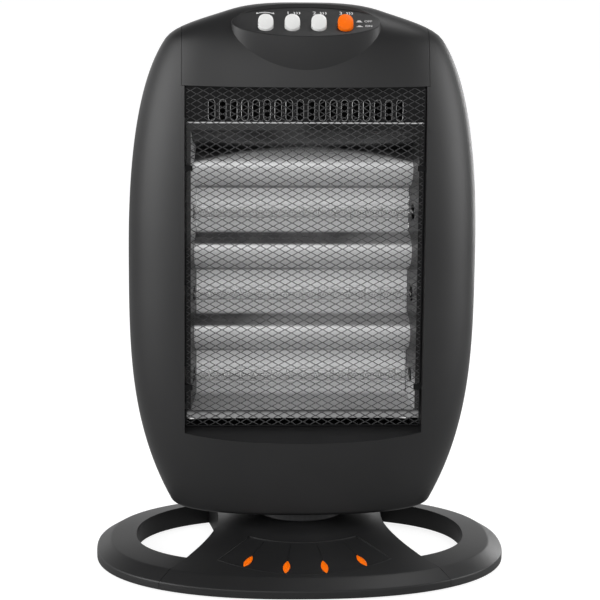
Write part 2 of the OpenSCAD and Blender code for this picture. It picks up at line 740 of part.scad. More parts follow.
module swing_link() color(steel) translate([0, link_y, link_z]) difference() {
    union() {
        translate([-motor_x, 0, 0]) cylinder(r = crank_pin_r + 3, h = link_t);
        translate([-motor_x, -4, 0]) cube([motor_x, 8, link_t]);
        cylinder(r = eye_r + eye_rim, h = link_t);
    }
    translate([-motor_x, 0, -past]) cylinder(r = crank_pin_r + fit, h = link_t + 2 * past);
    translate([0, 0, -past]) cylinder(r = eye_r, h = link_t + 2 * past);
}

// Tip-over switch: a spring-loaded plunger that the floor holds up
switch_body = [18, 14, 15];
module tip_switch() color(ceramic) difference() {
    translate([tip_at[0] - switch_body[0] / 2, tip_at[1] - switch_body[1] / 2, bottom_top_z]) cube(switch_body);
    translate([tip_at[0], tip_at[1], bottom_top_z - past]) cylinder(d = plunger_d + 3.6, h = 13 + past);
}
module tip_plunger() color(accent_orange) translate([tip_at[0], tip_at[1], 0]) {
    cylinder(d = plunger_d, h = bottom_top_z + 11);
    translate([0, 0, bottom_top_z + plunger_travel + 0.5]) cylinder(d = plunger_d + 3, h = 1.4);
}

// Guard: expanded metal with its edges turned back
guard_back = 4;
guard_margin = 0.6;
guard_x = open_w / 2 - guard_margin;
guard_z = [open_bottom_z + guard_margin, open_top_z - guard_margin];
strand_angle = atan(diamond_s / diamond_l);
strand_step = diamond_l * sin(strand_angle);
strand_l = 2 * open_w;
layer_gap = 0.02;
layer_t = (guard_t - layer_gap) / 2;
// One layer of parallel strands: the two layers cross and leave diamonds between them
module strand_layer(turn, y) intersection() {
    count = ceil((guard_x / diamond_l + (guard_z[1] - guard_z[0]) / 2 / diamond_s));
    translate([-guard_x + guard_t / 2, y, guard_z[0] + guard_t / 2])
        cube([2 * guard_x - guard_t, layer_t, guard_z[1] - guard_z[0] - guard_t]);
    for (k = [-count : count - 1]) translate([0, y, (guard_z[0] + guard_z[1]) / 2]) rotate([0, turn * strand_angle, 0])
        translate([-strand_l / 2, 0, (k + 0.5) * strand_step - strand / 2]) cube([strand_l, layer_t, strand]);
}
module guard_grille() color(deep_black) {
    strand_layer(1, -guard_y);
    strand_layer(-1, -guard_y + layer_t + layer_gap);
    for (s = [-1, 1]) translate([s * (guard_x - guard_t / 2) - guard_t / 2, -guard_y, guard_z[0]])
        cube([guard_t, guard_back, guard_z[1] - guard_z[0]]);
    for (z = [guard_z[0], guard_z[1] - guard_t]) translate([-guard_x, -guard_y, z])
        cube([2 * guard_x, guard_back, guard_t]);
}
clip_zs = [open_bottom_z + 31.5, open_top_z - 62];
module guard_clips() color(deep_black) for (s = [-1, 1], z = clip_zs)
    translate([s * (open_w / 2 - 3) - 3, -guard_y - 1.2, z - 2]) cube([6, 1, 4]);

// Reflector tray: a folded frame whose side walls slope back to the reflector
tray_x = guard_x - guard_t - run_gap;
tray_front_y = guard_y - guard_t - run_gap;
tray_flange = 2.2;
tray_slope_x = 5;
tray_bottom_z = guard_z[0] + guard_t + run_gap + tray_lift;
tray_top_z = open_top_z - vent_band_h;
tray_h = tray_top_z - tray_bottom_z;
lamp_pitch = lamp_share * tray_h;
lamp_mid_z = (tray_bottom_z + tray_top_z) / 2 - lamp_drop_share * tray_h;
strip_h = strip_share * lamp_pitch;
ridge_h = ridge_share * lamp_pitch;
tray_wall_x = tray_x - tray_flange - tray_slope_x;
module side_wall_plan() polygon([
    [tray_x, -tray_front_y], [tray_x, -tray_front_y + sheet_t],
    [tray_x - tray_flange, -tray_front_y + sheet_t],
    [tray_wall_x + sheet_t, -tray_back_y - sheet_t],
    [tray_x + 4, -tray_back_y - sheet_t], [tray_x + 4, -tray_back_y],
    [tray_wall_x, -tray_back_y],
    [tray_x - tray_flange - sheet_t, -tray_front_y]
]);
tray_bottom_run = 6;
tray_top_run = 3;
module reflector_tray() color(mirror_metal) difference() {
    union() {
        for (s = [0, 1]) mirror([s, 0, 0]) {
            translate([0, 0, tray_bottom_z]) linear_extrude(tray_top_z - tray_bottom_z) side_wall_plan();
            for (z = ear_zs) translate([tray_x, -tray_back_y - sheet_t, z - ear_h / 2])
                cube([ear_x + 5 - tray_x, sheet_t, ear_h]);
        }
        for (z = [tray_bottom_z, tray_top_z - tray_bottom_run])
            translate([-tray_x, -tray_front_y, z]) cube([2 * tray_x, sheet_t, tray_bottom_run]);
    }
    for (k = [-1 : 1], s = [-1, 1]) translate([s * tray_x, -lamp_y, lamp_mid_z + k * lamp_pitch])
        rotate([0, 90, 0]) cylinder(d = lamp_d + 2, h = 30, center = true);
    for (s = [-1, 1], z = ear_zs) translate([s * ear_x, -tray_back_y - 2 * sheet_t, z]) rotate([-90, 0, 0])
        cylinder(r = screw_r + clear, h = 4 * sheet_t);
}
module tray_screws() color(steel) for (s = [-1, 1], z = ear_zs)
    translate([s * ear_x, -tray_back_y, z]) rotate([-90, 0, 0]) screw(tray_screw_l);

// Reflector: flat strips behind the lamps and a rounded ridge above each of them
ridge_span = lamp_pitch - strip_h;
ridge_r = (pow(ridge_span / 2, 2) + pow(ridge_h, 2)) / (2 * ridge_h);
ridge_half_angle = asin(ridge_span / 2 / ridge_r) + (ridge_h > ridge_r ? 180 - 2 * asin(ridge_span / 2 / ridge_r) : 0);
ridge_steps = 10;
// Points of the ridge whose middle is at height z, from top to bottom, as [y, z]
function ridge(z) = [for (k = [0 : ridge_steps])
    let (a = ridge_half_angle * (1 - 2 * k / ridge_steps))
        [-(ridge_r * cos(a) - ridge_r + ridge_h), z + ridge_r * sin(a)]];
function ridge_z(k) = lamp_mid_z + lamp_pitch * (k + 0.5);
reflector_path = concat(
    [[-tray_front_y + sheet_t + run_gap, tray_top_z - tray_bottom_run - run_gap]],
    [[-tray_front_y + 9, ridge_z(1) + ridge_span / 2 + 8]],
    ridge(ridge_z(1)), ridge(ridge_z(0)), ridge(ridge_z(-1)),
    [[0, lamp_mid_z - lamp_pitch - strip_h / 2]],
    [[-tray_front_y + sheet_t + run_gap, tray_bottom_z + tray_bottom_run + run_gap]]
);
module reflector() color(mirror_metal) side_profile(concat(
    reflector_path,
    [for (k = [len(reflector_path) - 1 : -1 : 0]) [reflector_path[k][0] + sheet_t, reflector_path[k][1]]]
), 2 * (tray_wall_x - run_gap));

// Vent plate above the tray
vent_front_y = guard_y - guard_t - run_gap;
vent_flange = 12;
vent_edge = 1;
module vent_plate() color(deep_black) difference() {
    union() {
        translate([-tray_x, -vent_front_y, tray_top_z + run_gap])
            cube([2 * tray_x, sheet_t, guard_z[1] - guard_t - run_gap - tray_top_z - run_gap]);
        translate([-tray_x, -vent_front_y, guard_z[1] - guard_t - run_gap - sheet_t]) cube([2 * tray_x, vent_flange, sheet_t]);
    }
    for (k = [0 : vent_slots - 1])
        translate([(k - (vent_slots - 1) / 2) * vent_pitch, -vent_front_y - past, tray_top_z + vent_edge + vent_slot_h / 2])
            rotate([-90, 0, 0]) {
                for (s = [-1, 1]) translate([0, s * (vent_slot_h - vent_slot_w) / 2, 0])
                    cylinder(d = vent_slot_w, h = sheet_t + 2 * past, $fn = 24);
                translate([-vent_slot_w / 2, -(vent_slot_h - vent_slot_w) / 2, 0])
                    cube([vent_slot_w, vent_slot_h - vent_slot_w, sheet_t + 2 * past]);
            }
}

// Lamps and their brackets
glass_wall = 1;
cap_in_x = 86;
cap_out_x = lamp_l / 2;
glass_x = cap_out_x - 5;
bracket_sheet = 1;
bracket_margin = 7;
module at_lamp(k) translate([0, -lamp_y, lamp_mid_z + lamp_pitch * k]) rotate([0, 90, 0]) children();
module lamp_tube(k) color([0.9, 0.93, 0.95, 0.5]) at_lamp(k) difference() {
    cylinder(d = lamp_d, h = 2 * glass_x, center = true);
    cylinder(d = lamp_d - 2 * glass_wall, h = 2 * (glass_x - 3), center = true);
}
module lamp_filament(k) color(steel) at_lamp(k) {
    cylinder(d = 1.6, h = 2 * (glass_x - 6), center = true, $fn = 24);
    for (j = [-6 : 6]) translate([0, 0, j * 12])
        cylinder(d = lamp_d - 2 * glass_wall - 2 * clear, h = 0.6, center = true, $fn = 24);
    for (s = [-1, 1]) translate([0, 0, s * (glass_x - 4.5)]) cylinder(d = 4, h = 3, center = true, $fn = 24);
}
module lamp_caps(k) color(ceramic) at_lamp(k) for (s = [0, 1]) mirror([0, 0, s]) difference() {
    translate([0, 0, cap_in_x]) cylinder(d = cap_d, h = cap_out_x - cap_in_x);
    translate([0, 0, cap_in_x - past]) cylinder(d = lamp_d + 2 * fit, h = glass_x - cap_in_x + past + clear);
}
module lamp_bracket() {
    low = lamp_mid_z - lamp_pitch - 2 * bracket_margin;
    high = lamp_mid_z + lamp_pitch + 2 * bracket_margin;
    difference() {
        union() {
            translate([cap_out_x + run_gap, -lamp_y - cap_d / 2 - 3, low])
                cube([bracket_sheet, lamp_y + cap_d / 2 + 3 - tray_back_y + run_gap + bracket_sheet, high - low]);
            translate([tray_wall_x + 3, -tray_back_y + run_gap, low])
                cube([cap_out_x + run_gap + bracket_sheet - tray_wall_x - 3, bracket_sheet, high - low]);
        }
        for (k = [-1 : 1]) translate([cap_out_x - past, -lamp_y, lamp_mid_z + k * lamp_pitch])
            rotate([0, 90, 0]) cylinder(r = 2.5, h = 4 * past);
    }
}
module lamp_bracket_right() color(steel) lamp_bracket();
module lamp_bracket_left() color(steel) mirror([1, 0, 0]) lamp_bracket();

// Push buttons and their switches, in the frame of the pod's face
stem_r = 2.4;
dome_r = 26;
dome_tilt = 20;
flange_h = 1.2;
flange_top = wall + run_gap;
stem_end = switch_top + 5;
switch_l = 13;
stem_room = 0.6;
module push_button(k) pod_frame() translate([button_xs[k], 0, 0]) {
    intersection() {
        button_outline(0, -flange_top - 0.1, button_h + 2);
        translate([0, dome_r * sin(dome_tilt), button_h - dome_r * cos(dome_tilt)]) sphere(r = dome_r, $fn = 96);
    }
    button_outline(1, -flange_top - flange_h, -flange_top);
    translate([0, 0, -stem_end]) cylinder(r = stem_r, h = stem_end - flange_top);
}
module switch_plate() color(steel) pod_frame() difference() {
    translate([plate_post_x[0] - plate_margin, -plate_w / 2, -switch_top])
        cube([plate_post_x[1] - plate_post_x[0] + 2 * plate_margin, plate_w, plate_t - fit]);
    for (x = button_xs) translate([x, 0, -switch_top - past]) cylinder(r = stem_r + stem_room, h = plate_t + 2 * past);
    for (x = plate_post_x) translate([x, 0, -switch_top - past]) cylinder(r = small_screw_r + clear, h = plate_t + 2 * past);
}
module push_switches() color(deep_black) pod_frame() for (x = button_xs) translate([x, 0, 0]) difference() {
    translate([-plate_w / 2, -plate_w / 2, -switch_top - switch_l]) cube([plate_w, plate_w, switch_l]);
    translate([0, 0, -stem_end - button_travel - stem_room])
        cylinder(r = stem_r + clear, h = stem_end + button_travel + stem_room - switch_top + past);
}
module switch_screws() color(steel) pod_frame() for (x = plate_post_x) translate([x, 0, -switch_top]) {
    translate([0, 0, -small_head_h]) cylinder(r = small_head_r, h = small_head_h);
    cylinder(r = small_screw_r, h = small_screw_l);
}

// Over-heat cut-out behind the middle strip and terminal block on the floor
cutout_z = lamp_mid_z;
module thermal_cutout() color(steel) translate([0, sheet_t + run_gap, cutout_z]) rotate([-90, 0, 0]) {
    cylinder(r = 8, h = 5);
    translate([-12, -3, 0]) cube([24, 6, 1]);
    for (s = [-1, 1]) translate([s * 4 - 0.4, -3, 5]) cube([0.8, 6, 7]);
}
block_at = [62, 8];
module terminal_block() color(ceramic) translate([block_at[0], block_at[1], floor_top_z + run_gap]) difference() {
    translate([-9, -14, 0]) cube([18, 28, 12]);
    for (k = [-1 : 1]) {
        translate([-10, k * 9, 5]) rotate([0, 90, 0]) cylinder(r = 2, h = 20);
        translate([0, k * 9, 5]) cylinder(r = 1.6, h = 10);
    }
}

base_shell();
base_inserts();
bottom_plate();
rubber_feet();
base_screws();
pivot_spigot();
spigot_screws();
bearing_ring();
anchor_cap();
cord_gland();
tip_switch();
tip_plunger();
turntable();
turntable_screws();
front_frame();
top_cover();
rear_shell();
shell_screws();
guard_grille();
guard_clips();
reflector();
reflector_tray();
tray_screws();
vent_plate();
lamp_bracket_left();
lamp_bracket_right();
lamp_tube(1);  // lamp_tube_1
lamp_tube(0);  // lamp_tube_2
lamp_tube(-1);  // lamp_tube_3
lamp_filament(1);  // lamp_filament_1
lamp_filament(0);  // lamp_filament_2
lamp_filament(-1);  // lamp_filament_3
lamp_caps(1);  // lamp_caps_1
lamp_caps(0);  // lamp_caps_2
lamp_caps(-1);  // lamp_caps_3
motor_bracket();
swing_motor();
motor_screws();
swing_crank();
swing_link();
switch_plate();
push_switches();
switch_screws();
color(button_white) push_button(0);  // button_swing
color(button_white) push_button(1);  // button_heat_1
color(button_white) push_button(2);  // button_heat_2
color(accent_orange) push_button(3);  // button_heat_3
thermal_cutout();
terminal_block();
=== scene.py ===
import math

import bmesh
import bpy
from mathutils import Matrix, Vector


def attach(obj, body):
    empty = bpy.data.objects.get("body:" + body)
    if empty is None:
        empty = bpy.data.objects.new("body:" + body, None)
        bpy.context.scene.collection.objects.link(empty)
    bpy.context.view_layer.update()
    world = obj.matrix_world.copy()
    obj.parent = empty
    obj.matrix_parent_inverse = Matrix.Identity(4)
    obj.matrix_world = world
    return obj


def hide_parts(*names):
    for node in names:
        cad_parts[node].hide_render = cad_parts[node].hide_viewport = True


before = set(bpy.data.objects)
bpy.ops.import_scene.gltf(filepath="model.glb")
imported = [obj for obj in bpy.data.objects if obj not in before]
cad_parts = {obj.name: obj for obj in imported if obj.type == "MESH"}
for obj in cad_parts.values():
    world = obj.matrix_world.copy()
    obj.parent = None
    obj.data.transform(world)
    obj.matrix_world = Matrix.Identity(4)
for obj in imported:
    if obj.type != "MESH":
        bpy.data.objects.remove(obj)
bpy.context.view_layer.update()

# The camera stands where the photographer stood: a little above the heater, a
# long way off and a touch to its left. The white studio has a floor that keeps
# the heater's shadow, and soft boxes at both sides, in front and overhead.
VIEW_TILT = math.radians(10.5)
VIEW_TURN = math.radians(-3)
VIEW_ROLL = math.radians(0.55)
VIEW_DISTANCE = 1.6
VIEW_TARGET_Z = 0.23
FOCAL_PIXELS = 2065
PHOTO_PIXELS = 600
AXIS_PIXEL = (302.2, 267.6)
LIGHTS_TARGET = Vector((0, 0, 0.24))

scene = bpy.context.scene
scene.view_settings.view_transform = "Standard"


def new_object(name, data):
    """An object for the data, linked to the scene."""
    made = bpy.data.objects.new(name, data)
    scene.collection.objects.link(made)
    return made


camera = new_object("camera", bpy.data.cameras.new("camera"))
scene.camera = camera
camera.data.sensor_width = 36
camera.data.lens = FOCAL_PIXELS / PHOTO_PIXELS * camera.data.sensor_width
camera.data.shift_x = (PHOTO_PIXELS / 2 - AXIS_PIXEL[0]) / PHOTO_PIXELS
camera.data.shift_y = (AXIS_PIXEL[1] - PHOTO_PIXELS / 2) / PHOTO_PIXELS
camera.data.clip_end = 50
eye = Vector((0, -VIEW_DISTANCE * math.cos(VIEW_TILT), VIEW_DISTANCE * math.sin(VIEW_TILT)))
camera.matrix_world = (
    Matrix.Translation((0, 0, VIEW_TARGET_Z))
    @ Matrix.Rotation(VIEW_TURN, 4, "Z")
    @ Matrix.Translation(eye)
    @ Matrix.Rotation(math.pi / 2 - VIEW_TILT, 4, "X")
    @ Matrix.Rotation(VIEW_ROLL, 4, "Z")
)

for name, place, width, height, power in (
    ("left_box", (-1.62, -0.62, 0.7), 1.25, 1.8, 25),
    ("right_box", (1.66, -0.25, 0.45), 0.8, 1.5, 15),
    ("right_edge_box", (0.95, 1.1, 0.3), 0.3, 0.7, 3.5),
    ("front_box", (-0.4, -2.0, 1.3), 1.2, 0.8, 7),
    ("top_box", (0.6, 0.35, 2.0), 1.0, 0.7, 8),
):
    light = new_object(name, bpy.data.lights.new(name, "AREA"))
    light.data.shape = "RECTANGLE"
    light.data.size = width
    light.data.size_y = height
    light.data.energy = power
    light.location = place
    light.rotation_euler = (LIGHTS_TARGET - Vector(place)).to_track_quat("-Z", "Y").to_euler()

# The studio's pale walls: white behind the heater and wherever the camera looks,
# bright round the horizon in reflections, and dim towards the ceiling and floor.
WHITE = (1, 1, 1, 1)
SOFT_DAYLIGHT = (0.5, 0.5, 0.5, 1)
FLOOR_GREY = (0.3, 0.3, 0.3, 1)
FLOOR_GLOW = 0.86
FLOOR_GLOW_MIRRORED = 0.17


def feed(tree, sockets, inputs):
    """Gives sockets their constants, or links them to other nodes' outputs."""
    for name, value in inputs.items():
        if isinstance(value, bpy.types.NodeSocket):
            tree.links.new(value, sockets[name])
        else:
            sockets[name].default_value = value


def add_node(tree, kind, inputs, **settings):
    node = tree.nodes.new(kind)
    for name, value in settings.items():
        setattr(node, name, value)
    feed(tree, node.inputs, inputs)
    return node


def add_math(tree, operation, *values):
    return add_node(tree, "ShaderNodeMath", dict(enumerate(values)), operation=operation).outputs[0]


def add_range(tree, value, start, end, low=0, high=1):
    """Maps the run of a value from start to end onto low to high, and holds it there outside."""
    return add_node(tree, "ShaderNodeMapRange", {
        "Value": value, "From Min": start, "From Max": end, "To Min": low, "To Max": high}).outputs["Result"]


def add_tint(tree, factor, a, b):
    mix = add_node(tree, "ShaderNodeMix", {"Factor": factor, "A": a, "B": b}, data_type="RGBA")
    return mix.outputs["Result"]


def add_ramp(tree, value, stops):
    """A ramp of greys through (position, tone) stops."""
    node = add_node(tree, "ShaderNodeValToRGB", {"Fac": value})
    elements = node.color_ramp.elements
    for element, (position, tone) in zip(elements, stops):
        element.position = position
        element.color = (tone, tone, tone, 1)
    for position, tone in stops[2:]:
        elements.new(position).color = (tone, tone, tone, 1)
    return node.outputs["Color"]


world = bpy.data.worlds.new("studio")
scene.world = world
world.use_nodes = True
tree = world.node_tree
rays = add_node(tree, "ShaderNodeLightPath", {}).outputs
direction = add_node(tree, "ShaderNodeTexCoord", {}).outputs["Generated"]
height = add_node(tree, "ShaderNodeSeparateXYZ", {0: direction}).outputs["Z"]
walls = add_ramp(tree, add_range(tree, height, -1, 1),
                 ((0.36, 0.10), (0.47, 0.85), (0.56, 1.0), (0.68, 0.75), (0.82, 0.12)))
seen = add_math(tree, "MAXIMUM", rays["Is Camera Ray"], rays["Is Transmission Ray"])
lit = add_tint(tree, rays["Is Glossy Ray"], SOFT_DAYLIGHT, walls)
feed(tree, tree.nodes["Background"].inputs, {"Color": add_tint(tree, seen, lit, WHITE)})

floor_mesh = bpy.data.meshes.new("floor")
floor_mesh.from_pydata([(-15, -8, 0), (15, -8, 0), (15, 22, 0), (-15, 22, 0)], [], [(0, 1, 2, 3)])
floor = new_object("floor", floor_mesh)
floor_paint = bpy.data.materials.new("floor_paint")
floor_paint.use_nodes = True
tree = floor_paint.node_tree
tree.nodes.clear()
rays = add_node(tree, "ShaderNodeLightPath", {}).outputs
seen = add_math(tree, "MAXIMUM", rays["Is Camera Ray"], rays["Is Transmission Ray"])
strength = add_math(tree, "MULTIPLY_ADD", rays["Is Glossy Ray"], FLOOR_GLOW_MIRRORED,
                    add_math(tree, "MULTIPLY", seen, FLOOR_GLOW))
matt = add_node(tree, "ShaderNodeBsdfDiffuse", {"Color": FLOOR_GREY}).outputs[0]
glow = add_node(tree, "ShaderNodeEmission", {"Color": WHITE, "Strength": strength}).outputs[0]
both = add_node(tree, "ShaderNodeAddShader", {0: matt, 1: glow}).outputs[0]
add_node(tree, "ShaderNodeOutputMaterial", {"Surface": both})
floor_mesh.materials.append(floor_paint)

# Front frame of the head: one deep injection moulding in charcoal ABS, crowned
# like a pebble, with the opening for the guard, a sloping sill under it and a
# lip turned in round it. A tongue round its back edge fits in the rebate of
# the rear shell, which is screwed on from behind.
MM = 0.001
HEAD_W = 268
FRONT_D = 54
REAR_D = 50
FOOT_Z = 44.5
TOP_Z = 434
BELT_Z = FOOT_Z + 0.499 * (TOP_Z - FOOT_Z)
WALL = 2.4
SEAM = 0.3
TONGUE_GAP = 0.15
TONGUE_ROOT = 2
TONGUE_REACH = 1.1
REBATE_REACH = 1.4
OPEN_HALF = 90.8
OPEN_LOW = 111.5
OPEN_HIGH = 374
OPEN_FRONT_Y = 108
SILL_SLOPE = 0.42
GUARD_Y = 32
LIP_BACK_Y = 24
COVER_SIDE = OPEN_HALF + WALL
COVER_SEAM_Z = OPEN_HIGH + WALL
NECK_R = 36.5
NECK_GAP = 0.15
SECTION_POWER = 2.3
CROWN_POWER = 2.29
FOOT_POWER = 3.2
CROWN_END = 87
FOOT_EDGE = 3
BOSS_R = 4
FRONT_BOSS_X = 100
FRONT_BOSS_Z = (127.5, 330)
OUTSIDE = 200
ABOVE = 600
BUMP_REACH = 0.0002


def make_object(name, points, faces):
    """A mesh object from points in millimetres, with its faces turned outwards."""
    mesh = bpy.data.meshes.new(name)
    mesh.from_pydata([[c * MM for c in p] for p in points], [], faces)
    shape = bmesh.new()
    shape.from_mesh(mesh)
    bmesh.ops.recalc_face_normals(shape, faces=shape.faces)
    shape.to_mesh(mesh)
    shape.free()
    return new_object(name, mesh)


def ring_stack(name, rings):
    """A closed skin over a stack of rings with the same number of points."""
    n = len(rings[0])
    points = [p for ring in rings for p in ring]
    faces = [list(range(n))[::-1], [n * (len(rings) - 1) + k for k in range(n)]]
    for i in range(len(rings) - 1):
        for k in range(n):
            faces.append([i * n + k, i * n + (k + 1) % n, (i + 1) * n + (k + 1) % n, (i + 1) * n + k])
    return make_object(name, points, faces)


def prism(name, outline, low, high, along="Z"):
    """An outline of (a, b) points extruded along Z, or along X with a = y and b = z."""
    def place(a, b, t):
        return (t, a, b) if along == "X" else (a, b, t)
    return ring_stack(name, [[place(a, b, t) for a, b in outline] for t in (low, high)])


def block(name, low, high):
    outline = [(low[0], low[1]), (high[0], low[1]), (high[0], high[1]), (low[0], high[1])]
    return prism(name, outline, low[2], high[2])


def on_circle(radius, angle, x=0, y=0):
    return x + radius * math.cos(angle), y + radius * math.sin(angle)


def room(name, low_y, high_y, half=OUTSIDE, low_z=0):
    """A box from low_z to above the head."""
    return block(name, (-half, low_y, low_z), (half, high_y, ABOVE))


def round_bar(name, centre, radius, low, high, along="Z", points=48):
    """A round bar along an axis; centre holds the other two coordinates."""
    ring = [on_circle(radius, math.tau * k / points, *centre) for k in range(points)]
    if along == "Y":
        return ring_stack(name, [[(a, t, b) for a, b in ring] for t in (low, high)])
    return prism(name, ring, low, high, along)


def evaluated_mesh(source):
    return bpy.data.meshes.new_from_object(source.evaluated_get(bpy.context.evaluated_depsgraph_get()))


def bake(piece):
    """Turns a piece's modifiers into plain mesh."""
    fresh = evaluated_mesh(piece)
    piece.modifiers.clear()
    piece.data = fresh


def combine(piece, how, tools):
    """Runs a boolean on a piece with each of its tools, which are used up."""
    for tool in tools:
        step = piece.modifiers.new(how, "BOOLEAN")
        step.operation = how
        step.solver = "MANIFOLD"
        step.object = tool
        bake(piece)
        bpy.data.objects.remove(tool)
    return piece


def cut(piece, *tools):
    return combine(piece, "DIFFERENCE", tools)


def join(piece, *tools):
    return combine(piece, "UNION", tools)


def overlap(piece, *tools):
    return combine(piece, "INTERSECT", tools)


def finish_piece(piece, finish, angle=32):
    """Gives a piece its one material and smooth shading with creases kept sharp."""
    piece.data.materials.clear()
    piece.data.materials.append(finish)
    count = len(piece.data.polygons)
    piece.data.polygons.foreach_set("material_index", [0] * count)
    piece.data.polygons.foreach_set("use_smooth", [True] * count)
    piece.data.set_sharp_from_angle(angle=math.radians(angle))


def signed_power(value, power):
    return math.copysign(abs(value) ** power, value)


def width_share(u):
    """The head's width at a height u from foot (-1) over belt (0) to crown (1)."""
    if u < 0:
        return 1 - 0.25 * (-u) ** FOOT_POWER
    ease = min(1, max(0, (u - 0.86) / 0.11))
    return (1 - u ** CROWN_POWER) ** (1 / (5.1 - 1.9 * ease * ease * (3 - 2 * ease)))


def depth_share(u, taper):
    return 1 - taper * (-u) ** FOOT_POWER if u < 0 else (1 - u ** CROWN_POWER) ** (1 / 3)


def head_ring(u, inset, draw_in=0, points=144):
    span = (BELT_Z - FOOT_Z if u < 0 else TOP_Z - BELT_Z) - inset
    half = HEAD_W / 2 * width_share(u) - inset - draw_in
    front = FRONT_D * depth_share(u, 0.12) - inset - draw_in
    rear = REAR_D * depth_share(u, 0.04) - inset - draw_in
    ring = []
    for k in range(points):
        c = math.cos(math.tau * k / points)
        s = math.sin(math.tau * k / points)
        depth = front if s < 0 else rear
        ring.append((half * signed_power(c, 2 / SECTION_POWER), depth * signed_power(s, 2 / SECTION_POWER),
                     BELT_Z + u * span))
    return ring


def head_solid(name, inset):
    """The head's pebble form: a rounded foot edge, the body up to its belt, and the crown."""
    rings = []
    foot_share = FOOT_EDGE / (BELT_Z - FOOT_Z)
    for k in range(6):
        rise = k / 6
        draw_in = FOOT_EDGE * (1 - math.sqrt(1 - (1 - rise) ** 2))
        rings.append(head_ring(-1 + rise * foot_share, inset, draw_in))
    rings += [head_ring((-1 + foot_share) * (1 - k / 30), inset) for k in range(30)]
    rings += [head_ring(math.sin(math.radians(CROWN_END * k / 44)), inset) for k in range(45)]
    return ring_stack(name, rings)


def opening_space(name, grow):
    back = -LIP_BACK_Y + (0 if grow else 1)
    sill_z = OPEN_LOW - grow
    return prism(name, [(back, sill_z), (-GUARD_Y, sill_z),
                        (-OPEN_FRONT_Y, sill_z - SILL_SLOPE * (OPEN_FRONT_Y - GUARD_Y)),
                        (-OPEN_FRONT_Y, OPEN_HIGH + grow), (back, OPEN_HIGH + grow)],
                 -OPEN_HALF - grow, OPEN_HALF + grow, "X")


def cover_space(name, gap):
    return room(name, -120, -gap / 2, COVER_SIDE - gap / 2, OPEN_HIGH - SEAM + gap)


def neck_hole():
    return round_bar("neck_hole", (0, 0), NECK_R + NECK_GAP, FOOT_Z - 5, FOOT_Z + 5, points=96)


def effect_group(name, outputs, inputs=()):
    group = bpy.data.node_groups.new(name, "ShaderNodeTree")
    for label in outputs:
        group.interface.new_socket(name=label, in_out="OUTPUT", socket_type="NodeSocketFloat")
    for label, value in inputs:
        socket = group.interface.new_socket(name=label, in_out="INPUT", socket_type="NodeSocketFloat")
        socket.default_value = value
    return group


def object_noise(tree, scale, detail=2):
    place = add_node(tree, "ShaderNodeTexCoord", {}).outputs["Object"]
    noise = add_node(tree, "ShaderNodeTexNoise", {"Vector": place, "Scale": scale, "Detail": detail})
    return noise.outputs["Fac"]


def add_bump(tree, height, strength):
    return add_node(tree, "ShaderNodeBump", {
        "Height": height, "Strength": strength, "Distance": BUMP_REACH}).outputs["Normal"]


def moulded_grain_group():
    """Fine spark-eroded mould grain with a faint uneven sheen, for every moulded piece."""
    group = effect_group("moulded_grain", ("Height", "Sheen Spread"), (
        ("Grain Size", 2600), ("Cloud Size", 14), ("Roughness", 0.4), ("Spread", 0.06)))
    entry = add_node(group, "NodeGroupInput", {}).outputs
    grain = object_noise(group, entry["Grain Size"], 3)
    centred = add_math(group, "SUBTRACT", object_noise(group, entry["Cloud Size"], 4), 0.5)
    sheen = add_math(group, "MULTIPLY_ADD", centred, entry["Spread"], entry["Roughness"])
    add_node(group, "NodeGroupOutput", {"Height": grain, "Sheen Spread": sheen})
    return group


def edge_wear_group():
    """Convex edges, from the mesh's pointiness, as a mask."""
    group = effect_group("edge_mask", ("Edge",), (("From", 0.52), ("To", 0.6)))
    entry = add_node(group, "NodeGroupInput", {}).outputs
    form = add_node(group, "ShaderNodeNewGeometry", {}).outputs["Pointiness"]
    add_node(group, "NodeGroupOutput", {"Edge": add_range(group, form, entry["From"], entry["To"])})
    return group


def cloud_mask_group():
    """Soft uneven patches a few centimetres wide, as large mouldings have."""
    group = effect_group("cloud_mask", ("Edge",))
    add_node(group, "NodeGroupOutput", {"Edge": add_range(group, object_noise(group, 22, 6), 0.35, 0.7)})
    return group


mould_grain = moulded_grain_group()
edge_mask = edge_wear_group()
cloud_mask = cloud_mask_group()


def new_material(name):
    """A material with its node tree and the inputs of its Principled shader."""
    paint = bpy.data.materials.new(name)
    paint.use_nodes = True
    return paint, paint.node_tree, paint.node_tree.nodes["Principled BSDF"].inputs


def moulded_plastic(name, colour, edge_colour, roughness, depth=0.02, coat=0.0, specular=0.5, worn=True):
    paint, tree, shader = new_material(name)
    grain = add_node(tree, "ShaderNodeGroup", {"Roughness": roughness}, node_tree=mould_grain).outputs
    edge = add_node(tree, "ShaderNodeGroup", {}, node_tree=edge_mask if worn else cloud_mask).outputs["Edge"]
    feed(tree, shader, {
        "Specular IOR Level": specular, "Coat Weight": coat, "Coat Roughness": 0.15,
        "Normal": add_bump(tree, grain["Height"], depth), "Roughness": grain["Sheen Spread"],
        "Base Color": add_tint(tree, edge, (*colour, 1), (*edge_colour, 1))})
    return paint


charcoal = moulded_plastic("charcoal_abs", (0.0095, 0.0095, 0.01), (0.0125, 0.0125, 0.013), 0.42, 0.12,
                           specular=0.46, worn=False)


def seam_tongue(half, low_z):
    """A tongue in the inner half of the head's wall, reaching over the seam."""
    tongue = cut(head_solid("tongue", WALL / 2 + TONGUE_GAP), head_solid("core", WALL))
    return overlap(tongue, room("tongue_room", -TONGUE_ROOT, TONGUE_REACH, half, low_z))


